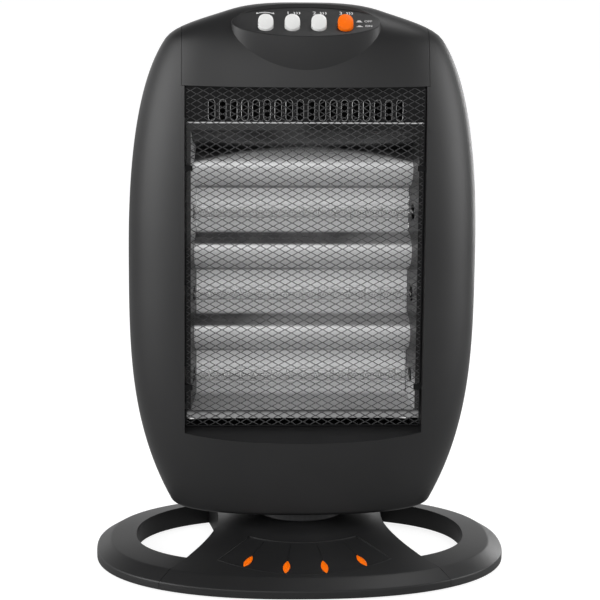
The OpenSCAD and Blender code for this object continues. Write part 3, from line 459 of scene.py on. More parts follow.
front_frame = cut(head_solid("front_frame_shell", 0), head_solid("core", WALL))
cut(front_frame, room("rear_half", -SEAM / 2, OUTSIDE))
join(front_frame, overlap(opening_space("lip", WALL), head_solid("outside", 0)))
for side in (-1, 1):
    for boss_z in FRONT_BOSS_Z:
        boss = round_bar("boss", (side * FRONT_BOSS_X, boss_z), BOSS_R, -FRONT_D, -3, "Y", 24)
        join(front_frame, overlap(boss, head_solid("outside", 0)))
join(front_frame, cut(seam_tongue(OUTSIDE, 0), room("cover_tongue", -3, 3, COVER_SIDE, OPEN_HIGH - SEAM)))
cut(front_frame, opening_space("opening", 0), cover_space("cover", 0), neck_hole())
finish_piece(front_frame, charcoal)
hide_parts("front_frame")
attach(front_frame, "head")

# Rear shell: the back half of the head in the same charcoal moulding, with rows
# of warm-air slots and counterbored screw wells. Closes the head from behind.
SHELL_SCREWS = [(112, FOOT_Z + 0.279 * (TOP_Z - FOOT_Z)), (112, FOOT_Z + 0.676 * (TOP_Z - FOOT_Z)),
                (90, FOOT_Z + 0.08 * (TOP_Z - FOOT_Z))]
SCREW_WAY_R = 1.65
SCREW_WELL_R = 3.15
SLOT_COLUMNS = (-62, 0, 62)
SLOT_W = 52
SLOT_H = 4
SLOT_STEP = 11
SLOT_GROUPS = ((FOOT_Z + 0.545 * (TOP_Z - FOOT_Z), 8), (FOOT_Z + 0.09 * (TOP_Z - FOOT_Z), 3))


def slot_outline(x, z, width, height, steps=8):
    reach = (width - height) / 2
    outline = []
    for side, start in ((1, -90), (-1, 90)):
        for k in range(steps + 1):
            outline.append(on_circle(height / 2, math.radians(start + 180 * k / steps), x + side * reach, z))
    return outline


rear_shell = cut(head_solid("rear_shell_moulding", 0), head_solid("core", WALL))
cut(rear_shell, room("front_half", -OUTSIDE, SEAM / 2))
cut(rear_shell, overlap(head_solid("rebate", WALL / 2), room("rebate_room", -1, REBATE_REACH)))
for side in (-1, 1):
    for x, z in SHELL_SCREWS:
        boss = round_bar("boss", (side * x, z), BOSS_R, SEAM / 2, REAR_D, "Y", 32)
        join(rear_shell, overlap(boss, head_solid("outside", WALL / 2)))
        cut(rear_shell, round_bar("screw_way", (side * x, z), SCREW_WAY_R, -1, 60, "Y", 24),
            round_bar("screw_well", (side * x, z), SCREW_WELL_R, 8, 60, "Y", 32))
for low, rows in SLOT_GROUPS:
    for row in range(rows):
        for x in SLOT_COLUMNS:
            outline = slot_outline(x, low + SLOT_STEP * row, SLOT_W, SLOT_H)
            slot = ring_stack("slot", [[(a, y, b) for a, b in outline] for y in (REAR_D / 2, REAR_D + 20)])
            cut(rear_shell, slot)
cut(rear_shell, neck_hole())
finish_piece(rear_shell, charcoal)
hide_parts("rear_shell")
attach(rear_shell, "head")

# Top cover: a separate moulding between the cheeks, clipped in over the guard,
# with the raised control pod whose face tilts towards the user. Four round-ended
# holes let the push buttons through.
POD_HALF_W = 56
POD_HALF_D = 17
POD_FRONT_Y = 42
POD_EDGE = 0.8
BUTTON_LINE_IN = 12
POD_TILT = math.radians(30)
POD_FACE_Z = TOP_Z - 22.5 + BUTTON_LINE_IN * math.tan(POD_TILT)
POD_SKIRT_Z = TOP_Z - 54.5
BUTTON_X = [-30.45 + 19.8 * k for k in range(4)]
BUTTON_R = 5.8
BUTTON_SHIFT = 0.95
BUTTON_GAP = 0.35
COVER_HALF = COVER_SIDE - SEAM
pod_place = (Matrix.Translation((0, (BUTTON_LINE_IN - POD_FRONT_Y) * MM, POD_FACE_Z * MM))
             @ Matrix.Rotation(POD_TILT, 4, "X"))


def pod_column(name, inset, top, points=160):
    plan = []
    for k in range(points):
        a = math.tau * (k + 0.5) / points
        plan.append(((POD_HALF_W - inset) * math.cos(a),
                     POD_HALF_D - POD_FRONT_Y + (POD_HALF_D - inset) * math.sin(a)))
    return prism(name, plan, BELT_Z, top)


def above_face(inset):
    above = block("above_face", (-100, -100, -inset), (100, 100, 100))
    above.data.transform(pod_place)
    return above


def pod_over_face(name, inset, face_inset):
    """The part of the pod's column that lies above its tilted face."""
    return overlap(pod_column(name, inset, TOP_Z + 5), above_face(face_inset))


def pod_solid(name, inset):
    """The pod: an oval column, cut by its tilted face."""
    return cut(pod_column(name, inset, TOP_Z), above_face(inset))


def button_outline(grow, points=24):
    outline = []
    for side, start in ((1, 0), (-1, 180)):
        for k in range(points + 1):
            a = math.radians(start + 180 * k / points)
            outline.append(on_circle(BUTTON_R + grow, a, 0, side * BUTTON_SHIFT))
    return outline


def on_pod_wall(p):
    """Whether a point lies on the pod's oval wall, clear of its face."""
    oval = (p.x / POD_HALF_W) ** 2 + ((p.y + POD_FRONT_Y - POD_HALF_D) / POD_HALF_D) ** 2
    face_z = POD_FACE_Z + (p.y - BUTTON_LINE_IN + POD_FRONT_Y) * math.tan(POD_TILT)
    return abs(oval - 1) < 0.02 and p.z < face_z - 3


top_cover = cut(head_solid("top_cover_moulding", 0), head_solid("core", WALL))
overlap(top_cover, cover_space("cover", 2 * SEAM), room("over_seam", -OUTSIDE, OUTSIDE, low_z=COVER_SEAM_Z))
join(top_cover, seam_tongue(COVER_HALF, COVER_SEAM_Z))
lip = block("lip", (-COVER_HALF, -110, OPEN_HIGH), (COVER_HALF, -LIP_BACK_Y, COVER_SEAM_Z))
join(top_cover, overlap(lip, head_solid("outside", 0)))
cover_form = overlap(head_solid("outside", 0), cover_space("cover", SEAM))
join(top_cover, overlap(pod_over_face("pan", -WALL, WALL), cover_form))
cut(top_cover, pod_over_face("sunk", 0, 0))
pod = pod_solid("pod", 0)
bevel = pod.modifiers.new("rim", "BEVEL")
bevel.width = POD_EDGE * MM
bevel.segments = 4
bevel.limit_method = "ANGLE"
bevel.angle_limit = math.radians(35)
bake(pod)
overlap(pod, room("pod_room", -OUTSIDE, -SEAM / 2, 100, POD_SKIRT_Z))
join(top_cover, pod)
hollow = overlap(pod_solid("pod_hollow", WALL), room("pod_room", -OUTSIDE, 0, 100))
head_hollow = overlap(head_solid("head_hollow", WALL), room("over_seam", -OUTSIDE, 0, 150, COVER_SEAM_Z))
cut(head_hollow, pod_over_face("kept", -WALL, WALL))
cut(top_cover, hollow, head_hollow)
for x in BUTTON_X:
    hole = prism("button_hole", [(x + a, b) for a, b in button_outline(BUTTON_GAP)], -WALL - 2, 3)
    hole.data.transform(pod_place)
    cut(top_cover, hole)
finish_piece(top_cover, charcoal, 14)
for edge in top_cover.data.edges:
    one, other = (top_cover.data.vertices[k].co / MM for k in edge.vertices)
    level = abs(one.z - other.z) < 1.5 * math.hypot(one.x - other.x, one.y - other.y)
    if level and on_pod_wall(one) and on_pod_wall(other):
        edge.use_edge_sharp = True
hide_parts("top_cover")
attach(top_cover, "head")

# Push buttons: three white caps and an orange one in glossy ABS, each with a
# crowned top, a flange that stops under the cover and a stem into its switch.
BUTTON_UP = 5
DOME_R = 26
DOME_TILT = math.radians(20)
DOME_RINGS = 15
STEM_R = 2.4
button_finishes = {
    "button_swing": "button_white", "button_heat_1": "button_white",
    "button_heat_2": "button_white", "button_heat_3": "button_orange",
}
gloss_white = moulded_plastic("gloss_white_abs", (0.80, 0.80, 0.79), (0.85, 0.85, 0.84), 0.25, 0.03, coat=0.2)
gloss_orange = moulded_plastic("gloss_orange_abs", (1.0, 0.165, 0.001), (1.0, 0.24, 0.01), 0.35, 0.03,
                               specular=0.2)
for mid_x, (node, slot_name) in zip(BUTTON_X, button_finishes.items()):
    rings = []
    for grow, z in ((1.0, -3.8), (1.0, -2.65), (0.0, -2.6), (0.0, -1.0)):
        rings.append([(mid_x + a, b, z) for a, b in button_outline(grow)])
    for k in range(DOME_RINGS):
        ring = []
        for a, b in button_outline(0):
            share = min(1, (DOME_RINGS - k) / 10) ** 0.8 * (1 - 0.012 * k)
            sink = 1.5 * max(0, 1 - k / 5) ** 2
            x, y = a * share, b * share
            along = y - DOME_R * math.sin(DOME_TILT)
            z = BUTTON_UP - DOME_R * math.cos(DOME_TILT) + math.sqrt(DOME_R ** 2 - x ** 2 - along ** 2) - sink
            ring.append((mid_x + x, y, z))
        rings.append(ring)
    cap = ring_stack(node + "_cap", rings)
    join(cap, round_bar("stem", (mid_x, 0), STEM_R, -14, -3.7, points=32))
    cap.data.transform(pod_place)
    finish_piece(cap, gloss_white if slot_name == "button_white" else gloss_orange, 40)
    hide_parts(node)
    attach(cap, node)

# Printed legend on the pod's face: white pad-printed marks, a swing arrow over
# the first button, plain numbers over the others, OFF and ON beside the last.
PRINT_T = 0.05
NUMBER_Y = 17.0
print_ink, tree, shader = new_material("print_ink")
grey = add_range(tree, object_noise(tree, 900), 0, 1, 0.55, 0.8)
ink_colour = add_node(tree, "ShaderNodeCombineColor", {"Red": grey, "Green": grey, "Blue": grey})
feed(tree, shader, {"Roughness": 0.5, "Base Color": ink_colour.outputs["Color"]})


def gather(mesh, parts):
    """Adds the parts to a mesh as shells of their own, and uses them up."""
    shape = bmesh.new()
    shape.from_mesh(mesh)
    for part in parts:
        shape.from_mesh(part.data)
        bpy.data.objects.remove(part)
    shape.to_mesh(mesh)
    shape.free()


def printed_word(word, size, x, y):
    text = bpy.data.curves.new("word_" + word, "FONT")
    text.body = word
    text.size = size * MM
    text.align_x = "CENTER"
    text.align_y = "CENTER"
    text.extrude = PRINT_T * MM / 2
    text.offset = 0.00003
    source = new_object("word", text)
    mesh = evaluated_mesh(source)
    bpy.data.objects.remove(source)
    mesh.transform(Matrix.Translation((x * MM, y * MM, PRINT_T * MM / 2)))
    return new_object("mark", mesh)


def printed_shape(*outline):
    return prism("mark", outline, 0, PRINT_T)


def arc_band(x, y, radius, width, start, end, steps=14):
    outer, inner = [], []
    for k in range(steps + 1):
        a = math.radians(start + (end - start) * k / steps)
        outer.append(on_circle(radius + width / 2, a, x, y))
        inner.append(on_circle(radius - width / 2, a, x, y))
    return outer + inner[::-1]


arrow_x = BUTTON_X[0]
marks = [printed_shape(*arc_band(arrow_x, 5.4, 12.4, 0.8, 65, 115))]
for side in (-1, 1):
    x, y = arrow_x + side * 6.9, 15.4
    marks.append(printed_shape((x, y), (x - side * 0.5, y + 2.4), (x - side * 2.4, y + 1.0)))
for number, x in zip("123", BUTTON_X[1:]):
    marks.append(printed_word(number, 5.4, x - 2.6, NUMBER_Y))
    for k in range(3):
        marks.append(printed_shape(*arc_band(x + 0.4 + 1.9 * k, NUMBER_Y, 2.0, 0.7, -50, 50, 6)))
for word, y, dome in (("OFF", 6.4, 0.6), ("ON", 0.2, 0.0)):
    marks.append(printed_word(word, 3.4, 46.4, y))
    marks.append(printed_shape((37.2, y - 1.2), (42.0, y - 1.2), (42.0, y - 0.6), (37.2, y - 0.6)))
    top = y + 0.7 + dome
    marks.append(printed_shape((37.9, y - 0.6), (41.3, y - 0.6), (40.5, top), (38.7, top)))
legend = new_object("pod_legend", bpy.data.meshes.new("pod_legend"))
gather(legend.data, marks)
legend.data.transform(pod_place)
legend.data.materials.append(print_ink)
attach(legend, "head")

# Guard: a sheet of steel slit and stretched into diamonds, in black enamel, with
# its edges folded back. Its strands are grey and half metallic instead of black:
# a painted highlight for the glints they catch. It drops into the opening in
# front of the tray.
GUARD_HALF_X = 90.2
GUARD_LOW = 112.1
GUARD_HIGH = 373.4
FOLD_T = 0.8
FOLD_DEPTH = 4
SOCKET_KINDS = {float: "NodeSocketFloat", int: "NodeSocketInt"}


def grown_piece(name, grow, settings):
    """Runs a Geometry Nodes tree, with the settings as its inputs, and keeps a plain mesh."""
    tree = bpy.data.node_groups.new("stretched_mesh", "GeometryNodeTree")
    tree.interface.new_socket(name="Geometry", in_out="OUTPUT", socket_type="NodeSocketGeometry")
    keys = {}
    for label, value in settings.items():
        kind = SOCKET_KINDS.get(type(value), "NodeSocketMaterial")
        keys[label] = tree.interface.new_socket(name=label, in_out="INPUT", socket_type=kind).identifier
    grown = grow(tree, add_node(tree, "NodeGroupInput", {}).outputs)
    add_node(tree, "NodeGroupOutput", {"Geometry": grown})
    piece = new_object(name, bpy.data.meshes.new(name))
    modifier = piece.modifiers.new("grow", "NODES")
    modifier.node_group = tree
    for label, value in settings.items():
        modifier[keys[label]] = value
    bake(piece)
    return piece


def sheet_metal(name, colour, roughness, metallic=1.0, grain=(40, 40, 400), depth=0.05, spread=0.1,
                specular=0.5):
    """Rolled or enamelled metal: drawn-out grain and a roughness that drifts."""
    metal, tree, shader = new_material(name)
    place = add_node(tree, "ShaderNodeTexCoord", {}).outputs["Object"]
    stretch = add_node(tree, "ShaderNodeMapping", {"Vector": place, "Scale": grain}).outputs["Vector"]
    noise = add_node(tree, "ShaderNodeTexNoise", {"Vector": stretch, "Scale": 4, "Detail": 5}).outputs["Fac"]
    feed(tree, shader, {
        "Metallic": metallic, "Specular IOR Level": specular,
        "Roughness": add_range(tree, noise, 0, 1, max(0.02, roughness - spread), roughness + spread),
        "Base Color": add_tint(tree, noise, (*[c * 0.9 for c in colour], 1), (*colour, 1)),
        "Normal": add_bump(tree, noise, depth)})
    return metal


black_enamel = sheet_metal("black_enamel", (0.005, 0.005, 0.0055), 0.36, metallic=0.0, grain=(60, 60, 60),
                           spread=0.08, specular=0.22)
# Painted highlight: the strands are grey and half metallic, not black, so that they catch light like glints
# on black enamel.
guard_painted_glint_enamel = sheet_metal("guard_painted_glint_enamel", (0.14, 0.14, 0.143), 0.28, metallic=0.35, grain=(60, 60, 60),
                           spread=0.08)


def mesh_of_strands(tree, entry):
    """Zigzag strands side by side: each touches the next at its knuckles."""
    def maths(how, *values):
        return add_math(tree, how, *values)

    def geometry(kind, output, **inputs):
        named = {label.replace("_", " "): value for label, value in inputs.items()}
        return add_node(tree, "GeometryNode" + kind, named).outputs[output]

    index = add_node(tree, "GeometryNodeInputIndex", {}).outputs[0]
    odd = maths("MODULO", index, 2)
    half = maths("FLOOR", maths("DIVIDE", index, 2))
    step = maths("DIVIDE", entry["Diamond Length"], 2)
    climb = maths("DIVIDE", entry["Diamond Height"], 2)
    corner = maths("MULTIPLY", maths("SUBTRACT", odd, 0.5), entry["Knuckle"])
    zigzag = add_node(tree, "ShaderNodeCombineXYZ", {
        "X": maths("ADD", maths("MULTIPLY", half, step), corner),
        "Z": maths("MULTIPLY", maths("MODULO", half, 2), climb)}).outputs[0]
    line = geometry("MeshLine", "Mesh", Count=entry["Points"])
    bent = geometry("SetPosition", "Geometry", Geometry=line, Position=zigzag)
    wire = geometry("MeshToCurve", "Curve", Mesh=bent)
    upright = add_node(tree, "GeometryNodeSetCurveNormal", {"Curve": wire}, mode="Z_UP").outputs["Curve"]
    turned = geometry("SetCurveTilt", "Curve", Curve=upright, Tilt=entry["Twist"])
    profile = geometry("CurvePrimitiveQuadrilateral", "Curve",
                       Width=entry["Strand Width"], Height=entry["Sheet"])
    strand = geometry("CurveToMesh", "Mesh", Curve=turned, Profile_Curve=profile, Fill_Caps=True)
    row_place = add_node(tree, "ShaderNodeCombineXYZ", {
        "X": maths("ADD", maths("MULTIPLY", odd, maths("MULTIPLY", step, -1)), entry["Left"]),
        "Y": entry["Face"],
        "Z": maths("ADD", maths("MULTIPLY", index, climb), entry["Low"])}).outputs[0]
    rows = geometry("MeshLine", "Mesh", Count=entry["Rows"])
    spread = geometry("SetPosition", "Geometry", Geometry=rows, Position=row_place)
    copies = geometry("InstanceOnPoints", "Instances", Points=spread, Instance=strand)
    real = geometry("RealizeInstances", "Geometry", Geometry=copies)
    return geometry("SetMaterial", "Geometry", Geometry=real, Material=entry["Finish"])


guard = grown_piece("guard_mesh", mesh_of_strands, {
    "Diamond Length": 0.0096, "Diamond Height": 0.005, "Knuckle": 0.0006, "Strand Width": 0.00042,
    "Sheet": 0.00046, "Twist": 0.6, "Points": 80, "Rows": 104, "Left": -0.0912, "Low": 0.1126,
    "Face": -0.0316, "Finish": guard_painted_glint_enamel})
shape = bmesh.new()
shape.from_mesh(guard.data)
for normal in ((1, 0, 0), (-1, 0, 0)):
    trimmed = bmesh.ops.bisect_plane(
        shape, geom=shape.verts[:] + shape.edges[:] + shape.faces[:], clear_outer=True,
        plane_co=Vector(normal) * (GUARD_HALF_X - FOLD_T / 2) * MM, plane_no=normal)
    bmesh.ops.holes_fill(shape, edges=[e for e in trimmed["geom_cut"] if isinstance(e, bmesh.types.BMEdge)])
shape.to_mesh(guard.data)
shape.free()
folds = []
for left, right, low, high in (
    (-GUARD_HALF_X, -GUARD_HALF_X + FOLD_T, GUARD_LOW, GUARD_HIGH),
    (GUARD_HALF_X - FOLD_T, GUARD_HALF_X, GUARD_LOW, GUARD_HIGH),
    (-GUARD_HALF_X, GUARD_HALF_X, GUARD_LOW, GUARD_LOW + FOLD_T),
    (-GUARD_HALF_X, GUARD_HALF_X, GUARD_HIGH - FOLD_T, GUARD_HIGH),
):
    folds.append(block("fold", (left, -GUARD_Y, low), (right, FOLD_DEPTH - GUARD_Y, high)))
gather(guard.data, folds)
finish_piece(guard, guard_painted_glint_enamel, 30)
guard.data.materials.append(black_enamel)
for face in guard.data.polygons:
    x, z = face.center.x / MM, face.center.z / MM
    if abs(x) > GUARD_HALF_X - 0.9 or z < GUARD_LOW + 0.9 or z > GUARD_HIGH - 0.9:
        face.material_index = 1
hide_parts("guard_grille")
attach(guard, "head")

# Guard clips and vent plate: pressed steel in black enamel. The clips hold
# the guard against the tray. Warm air leaves through the plate's slots; thin rings
# of bright bare metal round their edges are a painted highlight for the glints
# the edges catch.
VENT_SLOTS = 18
VENT_PITCH = 8.3
VENT_SLOT_W = 5
VENT_SLOT_H = 16
VENT_MID_Z = 355.6
VENT_FRONT_Y = GUARD_Y - 1
EDGE_R = 0.24
EDGE_SIDES = 6
# Painted highlight: bright bare metal for the rings round the vent slots, standing in for the glints on their
# edges.
painted_glint_edge = sheet_metal("painted_glint_edge", (0.62, 0.62, 0.62), 0.3, grain=(60, 60, 60))


def dress(finish, *nodes):
    """Gives CAD solids that stay in view their finish."""
    for node in nodes:
        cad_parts[node].material_slots[0].material = finish


dress(black_enamel, "guard_clips", "vent_plate")
slot_edges = []
for k in range(VENT_SLOTS):
    x = (k - (VENT_SLOTS - 1) / 2) * VENT_PITCH
    points = []
    for j in range(EDGE_SIDES):
        a = math.tau * j / EDGE_SIDES
        grow = 2 * EDGE_R * math.cos(a)
        points += [(x + across, -VENT_FRONT_Y + EDGE_R * math.sin(a), VENT_MID_Z + up)
                   for up, across in slot_outline(0, 0, VENT_SLOT_H + grow, VENT_SLOT_W + grow, 6)]
    count = len(points) // EDGE_SIDES
    faces = []
    for i in range(EDGE_SIDES):
        here, ahead = i * count, (i + 1) % EDGE_SIDES * count
        faces += [(here + j, here + (j + 1) % count, ahead + (j + 1) % count, ahead + j)
                  for j in range(count)]
    slot_edges.append(make_object("slot_edge", points, faces))
vent_edges = new_object("vent_slot_edges", bpy.data.meshes.new("vent_slot_edges"))
gather(vent_edges.data, slot_edges)
finish_piece(vent_edges, painted_glint_edge, 60)
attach(vent_edges, "head")

# Reflector: one bright rolled aluminium sheet, folded into three flat strips with
# a rounded ridge above each, so that every lamp has its own mirror. The tray
# round it is a folded frame of the same sheet, screwed to the front frame.
TRAY_LOW = 118.1
TRAY_HIGH = 346.6
TRAY_FRONT_Y = GUARD_Y - 1
TRAY_FLANGE = 6.2
LAMP_PITCH = 0.28 * (TRAY_HIGH - TRAY_LOW)
LAMP_MID_Z = (TRAY_LOW + TRAY_HIGH) / 2 - 0.089 * (TRAY_HIGH - TRAY_LOW)
LAMP_Y = 13
STRIP_H = 0.516 * LAMP_PITCH
RIDGE_H = 0.203 * LAMP_PITCH
SHEET_T = 0.8
REFLECTOR_HALF_X = 81.8
WALL_SPLAY = 5 / 29
RIDGE_STEPS = 28
# Painted dark reflection: the tone that the ridge bands and the top fold are darkened to.
PAINTED_DARK_REFLECTION = (0.035, 0.035, 0.036, 1)
# Painted shade: the near-black tone of the tray's darkened rim and walls.
PAINTED_SHADE = (0.012, 0.012, 0.012, 1)
ridge_half_span = (LAMP_PITCH - STRIP_H) / 2
ridge_r = (ridge_half_span ** 2 + RIDGE_H ** 2) / (2 * RIDGE_H)
ridge_half_angle = math.asin(min(1, ridge_half_span / ridge_r))
top_ridge_z = LAMP_MID_Z + 1.5 * LAMP_PITCH
tray_sheet = sheet_metal("tray_sheet", (0.95, 0.95, 0.955), 0.35, metallic=0.3, grain=(6, 60, 60), depth=0.35,
                         spread=0.06, specular=0.3)
# The reflector's sheet, which carries the painted dark reflection bands.
painted_band_sheet = sheet_metal("painted_band_sheet", (0.95, 0.95, 0.955), 0.36, metallic=0.5, grain=(14, 60, 60),
                           depth=0.5, spread=0.06)


def metal_parts(metal):
    """A metal's tree, shader inputs, plain colour, and the coordinates of each point."""
    tree = metal.node_tree
    shader = tree.nodes["Principled BSDF"].inputs
    place = add_node(tree, "ShaderNodeTexCoord", {}).outputs["Object"]
    parts = add_node(tree, "ShaderNodeSeparateXYZ", {0: place}).outputs
    return tree, shader, shader["Base Color"].links[0].from_socket, parts


def paint_reflection_bands(metal):
    """Painted dark reflections and shade on each ridge's upper flank and on the fold over the top ridge,
    fading along a diagonal and a little patchy; the sheet turns non-metallic low down so that the bottom
    looks brighter.
    """
    tree, shader, plain, parts = metal_parts(metal)
    x, z = parts["X"], parts["Z"]
    low = (LAMP_MID_Z - 2 * LAMP_PITCH) * MM
    turns = add_node(tree, "ShaderNodeMapRange", {
        "Value": z, "From Min": low, "From Max": low + LAMP_PITCH * MM}, clamp=False).outputs["Result"]
    bands = add_ramp(tree, add_math(tree, "FRACT", turns), (
        (0.25, 0.0), (0.262, 0.8), (0.29, 0.7), (0.31, 0.0), (0.585, 0.0), (0.61, 0.9), (0.72, 0.95),
        (0.745, 0.1), (0.78, 0.0)))
    under_top = add_range(tree, z, (top_ridge_z - 2) * MM, top_ridge_z * MM, 1, 0)
    paler = add_range(tree, add_math(tree, "MULTIPLY_ADD", z, -1.22, x), -0.285, -0.245, 1, 0.6)
    faded = add_math(tree, "MULTIPLY", add_math(tree, "MULTIPLY", bands, under_top), paler)
    lifted = add_math(tree, "MULTIPLY_ADD", add_math(tree, "POWER", x, 2), 1.5, z)
    over_top = add_range(tree, lifted, (top_ridge_z + 14.5) * MM, (top_ridge_z + 17) * MM)
    patches = add_range(tree, object_noise(tree, 25), 0.3, 0.6, 0.9, 1)
    painted_dark = add_math(tree, "MULTIPLY", add_math(tree, "MAXIMUM", faded, over_top), patches)
    feed(tree, shader, {
        "Base Color": add_tint(tree, painted_dark, plain, PAINTED_DARK_REFLECTION),
        "Metallic": add_range(tree, z, (TRAY_LOW + 12) * MM, (TRAY_LOW + 30) * MM, 0, 0.5)})


def paint_wall_shade(metal):
    """Painted shade: the tray's rim and most of its side walls are darkened to near black for the dark lip
    they mirror; the upper end of the left wall, the lower end of the right wall and the top edge keep the
    sheet's bright colour.
    """
    tree, shader, plain, parts = metal_parts(metal)
    left, right, side, inside, bottom, top = (
        add_range(tree, parts[axis], start * MM, end * MM, low, high)
        for axis, start, end, low, high in (
            ("Z", 244, 262, 0.05, 1), ("Z", 142, 156, 0.8, 0.04), ("X", -5, 5, 0, 1),
            ("Y", -30.1, -29.8, 0.05, 1), ("Z", 121.5, 124.5, 0.5, 0), ("Z", 345.4, 345.8, 0, 0.9)))
    wall = add_node(tree, "ShaderNodeMix", {"Factor": side, "A": left, "B": right}).outputs["Result"]
    kept = add_math(tree, "MAXIMUM", add_math(tree, "MULTIPLY", wall, inside), bottom)
    kept = add_math(tree, "MAXIMUM", kept, top)
    feed(tree, shader, {"Base Color": add_tint(tree, kept, PAINTED_SHADE, plain)})


path_points = [(-TRAY_FRONT_Y + 1, TRAY_HIGH - TRAY_FLANGE),
               (-TRAY_FRONT_Y + 9, top_ridge_z + ridge_half_span + 8)]
for ridge in (1.5, 0.5, -0.5):
    for k in range(RIDGE_STEPS + 1):
        a = ridge_half_angle * (1 - 2 * k / RIDGE_STEPS)
        path_points.append((-(ridge_r * math.cos(a) - ridge_r + RIDGE_H),
                            LAMP_MID_Z + ridge * LAMP_PITCH + ridge_r * math.sin(a)))
path_points += [(0, LAMP_MID_Z - LAMP_PITCH - STRIP_H / 2), (-TRAY_FRONT_Y + 1, TRAY_LOW + TRAY_FLANGE)]
path_points += [(y + SHEET_T, z) for y, z in reversed(path_points)]


def reflector_edge(y):
    """The sheet widens towards the front with the tray's sloping walls."""
    return REFLECTOR_HALF_X + max(0, -y - 2) * WALL_SPLAY


reflector = ring_stack("reflector_sheet", [[(side * reflector_edge(y), y, z) for y, z in path_points]
                                           for side in (-1, 1)])
paint_reflection_bands(painted_band_sheet)
finish_piece(reflector, painted_band_sheet, 30)
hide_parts("reflector")
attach(reflector, "head")
paint_wall_shade(tray_sheet)
dress(tray_sheet, "reflector_tray")

# Lamps: clear quartz tubes with a wound tungsten coil held by small discs, and
# glazed steatite caps at both ends that sit in the zinc-plated brackets.
COIL_R = 1.25
COIL_WIRE_R = 0.28
COIL_TURNS = 84
COIL_STEPS = 12
COIL_HALF_L = 84
DISC_R = 3.8
DISC_HALF_T = 0.3
DISC_END_X = 72
DISC_PITCH = 12
PIN_R = 2
PIN_X = 86.5
PIN_HALF_L = 1.5
quartz, tree, shader = new_material("clear_quartz")
feed(tree, shader, {
    "Transmission Weight": 1, "IOR": 1.2, "Base Color": (0.98, 0.98, 0.98, 1),
    "Roughness": add_range(tree, object_noise(tree, 60), 0, 1, 0.01, 0.06)})
tungsten = sheet_metal("drawn_tungsten", (0.6, 0.6, 0.6), 0.35, grain=(400, 60, 60))
steatite = moulded_plastic("glazed_steatite", (0.70, 0.67, 0.60), (0.78, 0.76, 0.70), 0.3, 0.05, coat=0.4)
zinc = sheet_metal("zinc_plate", (0.62, 0.63, 0.66), 0.36, grain=(30, 30, 30), depth=0.15)


def tube_points(path, radius, sides):
    """Rings of points round a path of points, for a wire."""
    rings = []
    for k, p in enumerate(path):
        ahead = Vector(path[min(k + 1, len(path) - 1)]) - Vector(path[max(k - 1, 0)])
        ahead.normalize()
        across = ahead.cross(Vector((0.12, 0.9, 0.4))).normalized()
        other = ahead.cross(across)
        turns = [math.tau * j / sides for j in range(sides)]
        rings.append([tuple(Vector(p) + (across * math.cos(a) + other * math.sin(a)) * radius)
                      for a in turns])
    return rings


for number, offset in ((1, LAMP_PITCH), (2, 0), (3, -LAMP_PITCH)):
    z = LAMP_MID_Z + offset
    coil_path = []
    for k in range(COIL_TURNS * COIL_STEPS + 1):
        turn = math.tau * k / COIL_STEPS
        coil_path.append((-COIL_HALF_L + 2 * COIL_HALF_L * k / (COIL_TURNS * COIL_STEPS),
                          -LAMP_Y + COIL_R * math.cos(turn), z + COIL_R * math.sin(turn)))
    coil = ring_stack(f"lamp_coil_{number}", tube_points(coil_path, COIL_WIRE_R, 6))
    discs = [round_bar("disc", (-LAMP_Y, z), DISC_R, x - DISC_HALF_T, x + DISC_HALF_T, "X", 20)
             for x in range(-DISC_END_X, DISC_END_X + 1, DISC_PITCH)]
    pins = [round_bar("pin", (-LAMP_Y, z), PIN_R, x - PIN_HALF_L, x + PIN_HALF_L, "X", 20)
            for x in (-PIN_X, PIN_X)]
    gather(coil.data, discs + pins)
    finish_piece(coil, tungsten, 50)
    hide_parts(f"lamp_filament_{number}")
    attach(coil, "head")
    dress(quartz, f"lamp_tube_{number}")
    dress(steatite, f"lamp_caps_{number}")
dress(zinc, "lamp_bracket_left", "lamp_bracket_right")

# Base shell: an oval ring with a bridge across it in charcoal ABS. The bridge
# swells into a low collar for the turntable; its front apron has a sunken panel
# with four slots for the inserts.
BASE_HALF_W = 160
BASE_HALF_D = 115
BASE_WALL = 2.5
OVAL_POWER = 2.3
RIM_Z = 7.5
CREASE_Z = 14.5
COLLAR_R = 62
COLLAR_Z = 29
SEAT_Z = 36.5
CHAMFER_W = 11
BAND_W = 20
BASE_POINTS = 180
APRON_PIECES = 12
PROFILE_RADII = (1.0, 1.3, 6, 6, 2)
INSERT_R = 91.5
INSERT_L = 15
INSERT_W = 5.2
INSERT_TURNS = (-28, -9, 9, 28)
INSERT_GAP = 0.15
PANEL_TURN = 41
PANEL_IN_R = 63
PANEL_OUT_R = 100.5
PANEL_SINK = 0.9
SEAM_LINE_HALF_W = 0.3
SEAM_LINE_DEPTH = 0.35
GROOVE_L = 26
GROOVE_W = 1.6
GROOVE_IN = 16
SPIGOT_HOLE_R = 14.15
GLAND_HOLE_R = 4.75
GLAND_Z = 8.2
GLAND_LEDGE_Y = 99.7


def oval_r(a, inwards):
    """How far the base's outline, drawn in by a length, lies from the axis at an angle."""
    return (abs(math.cos(a) / (BASE_HALF_W - inwards)) ** OVAL_POWER
            + abs(math.sin(a) / (BASE_HALF_D - inwards)) ** OVAL_POWER) ** (-1 / OVAL_POWER)


def oval_outline(inwards):
    turns = [math.tau * k / BASE_POINTS for k in range(BASE_POINTS)]
    return [on_circle(oval_r(a, inwards), a) for a in turns]


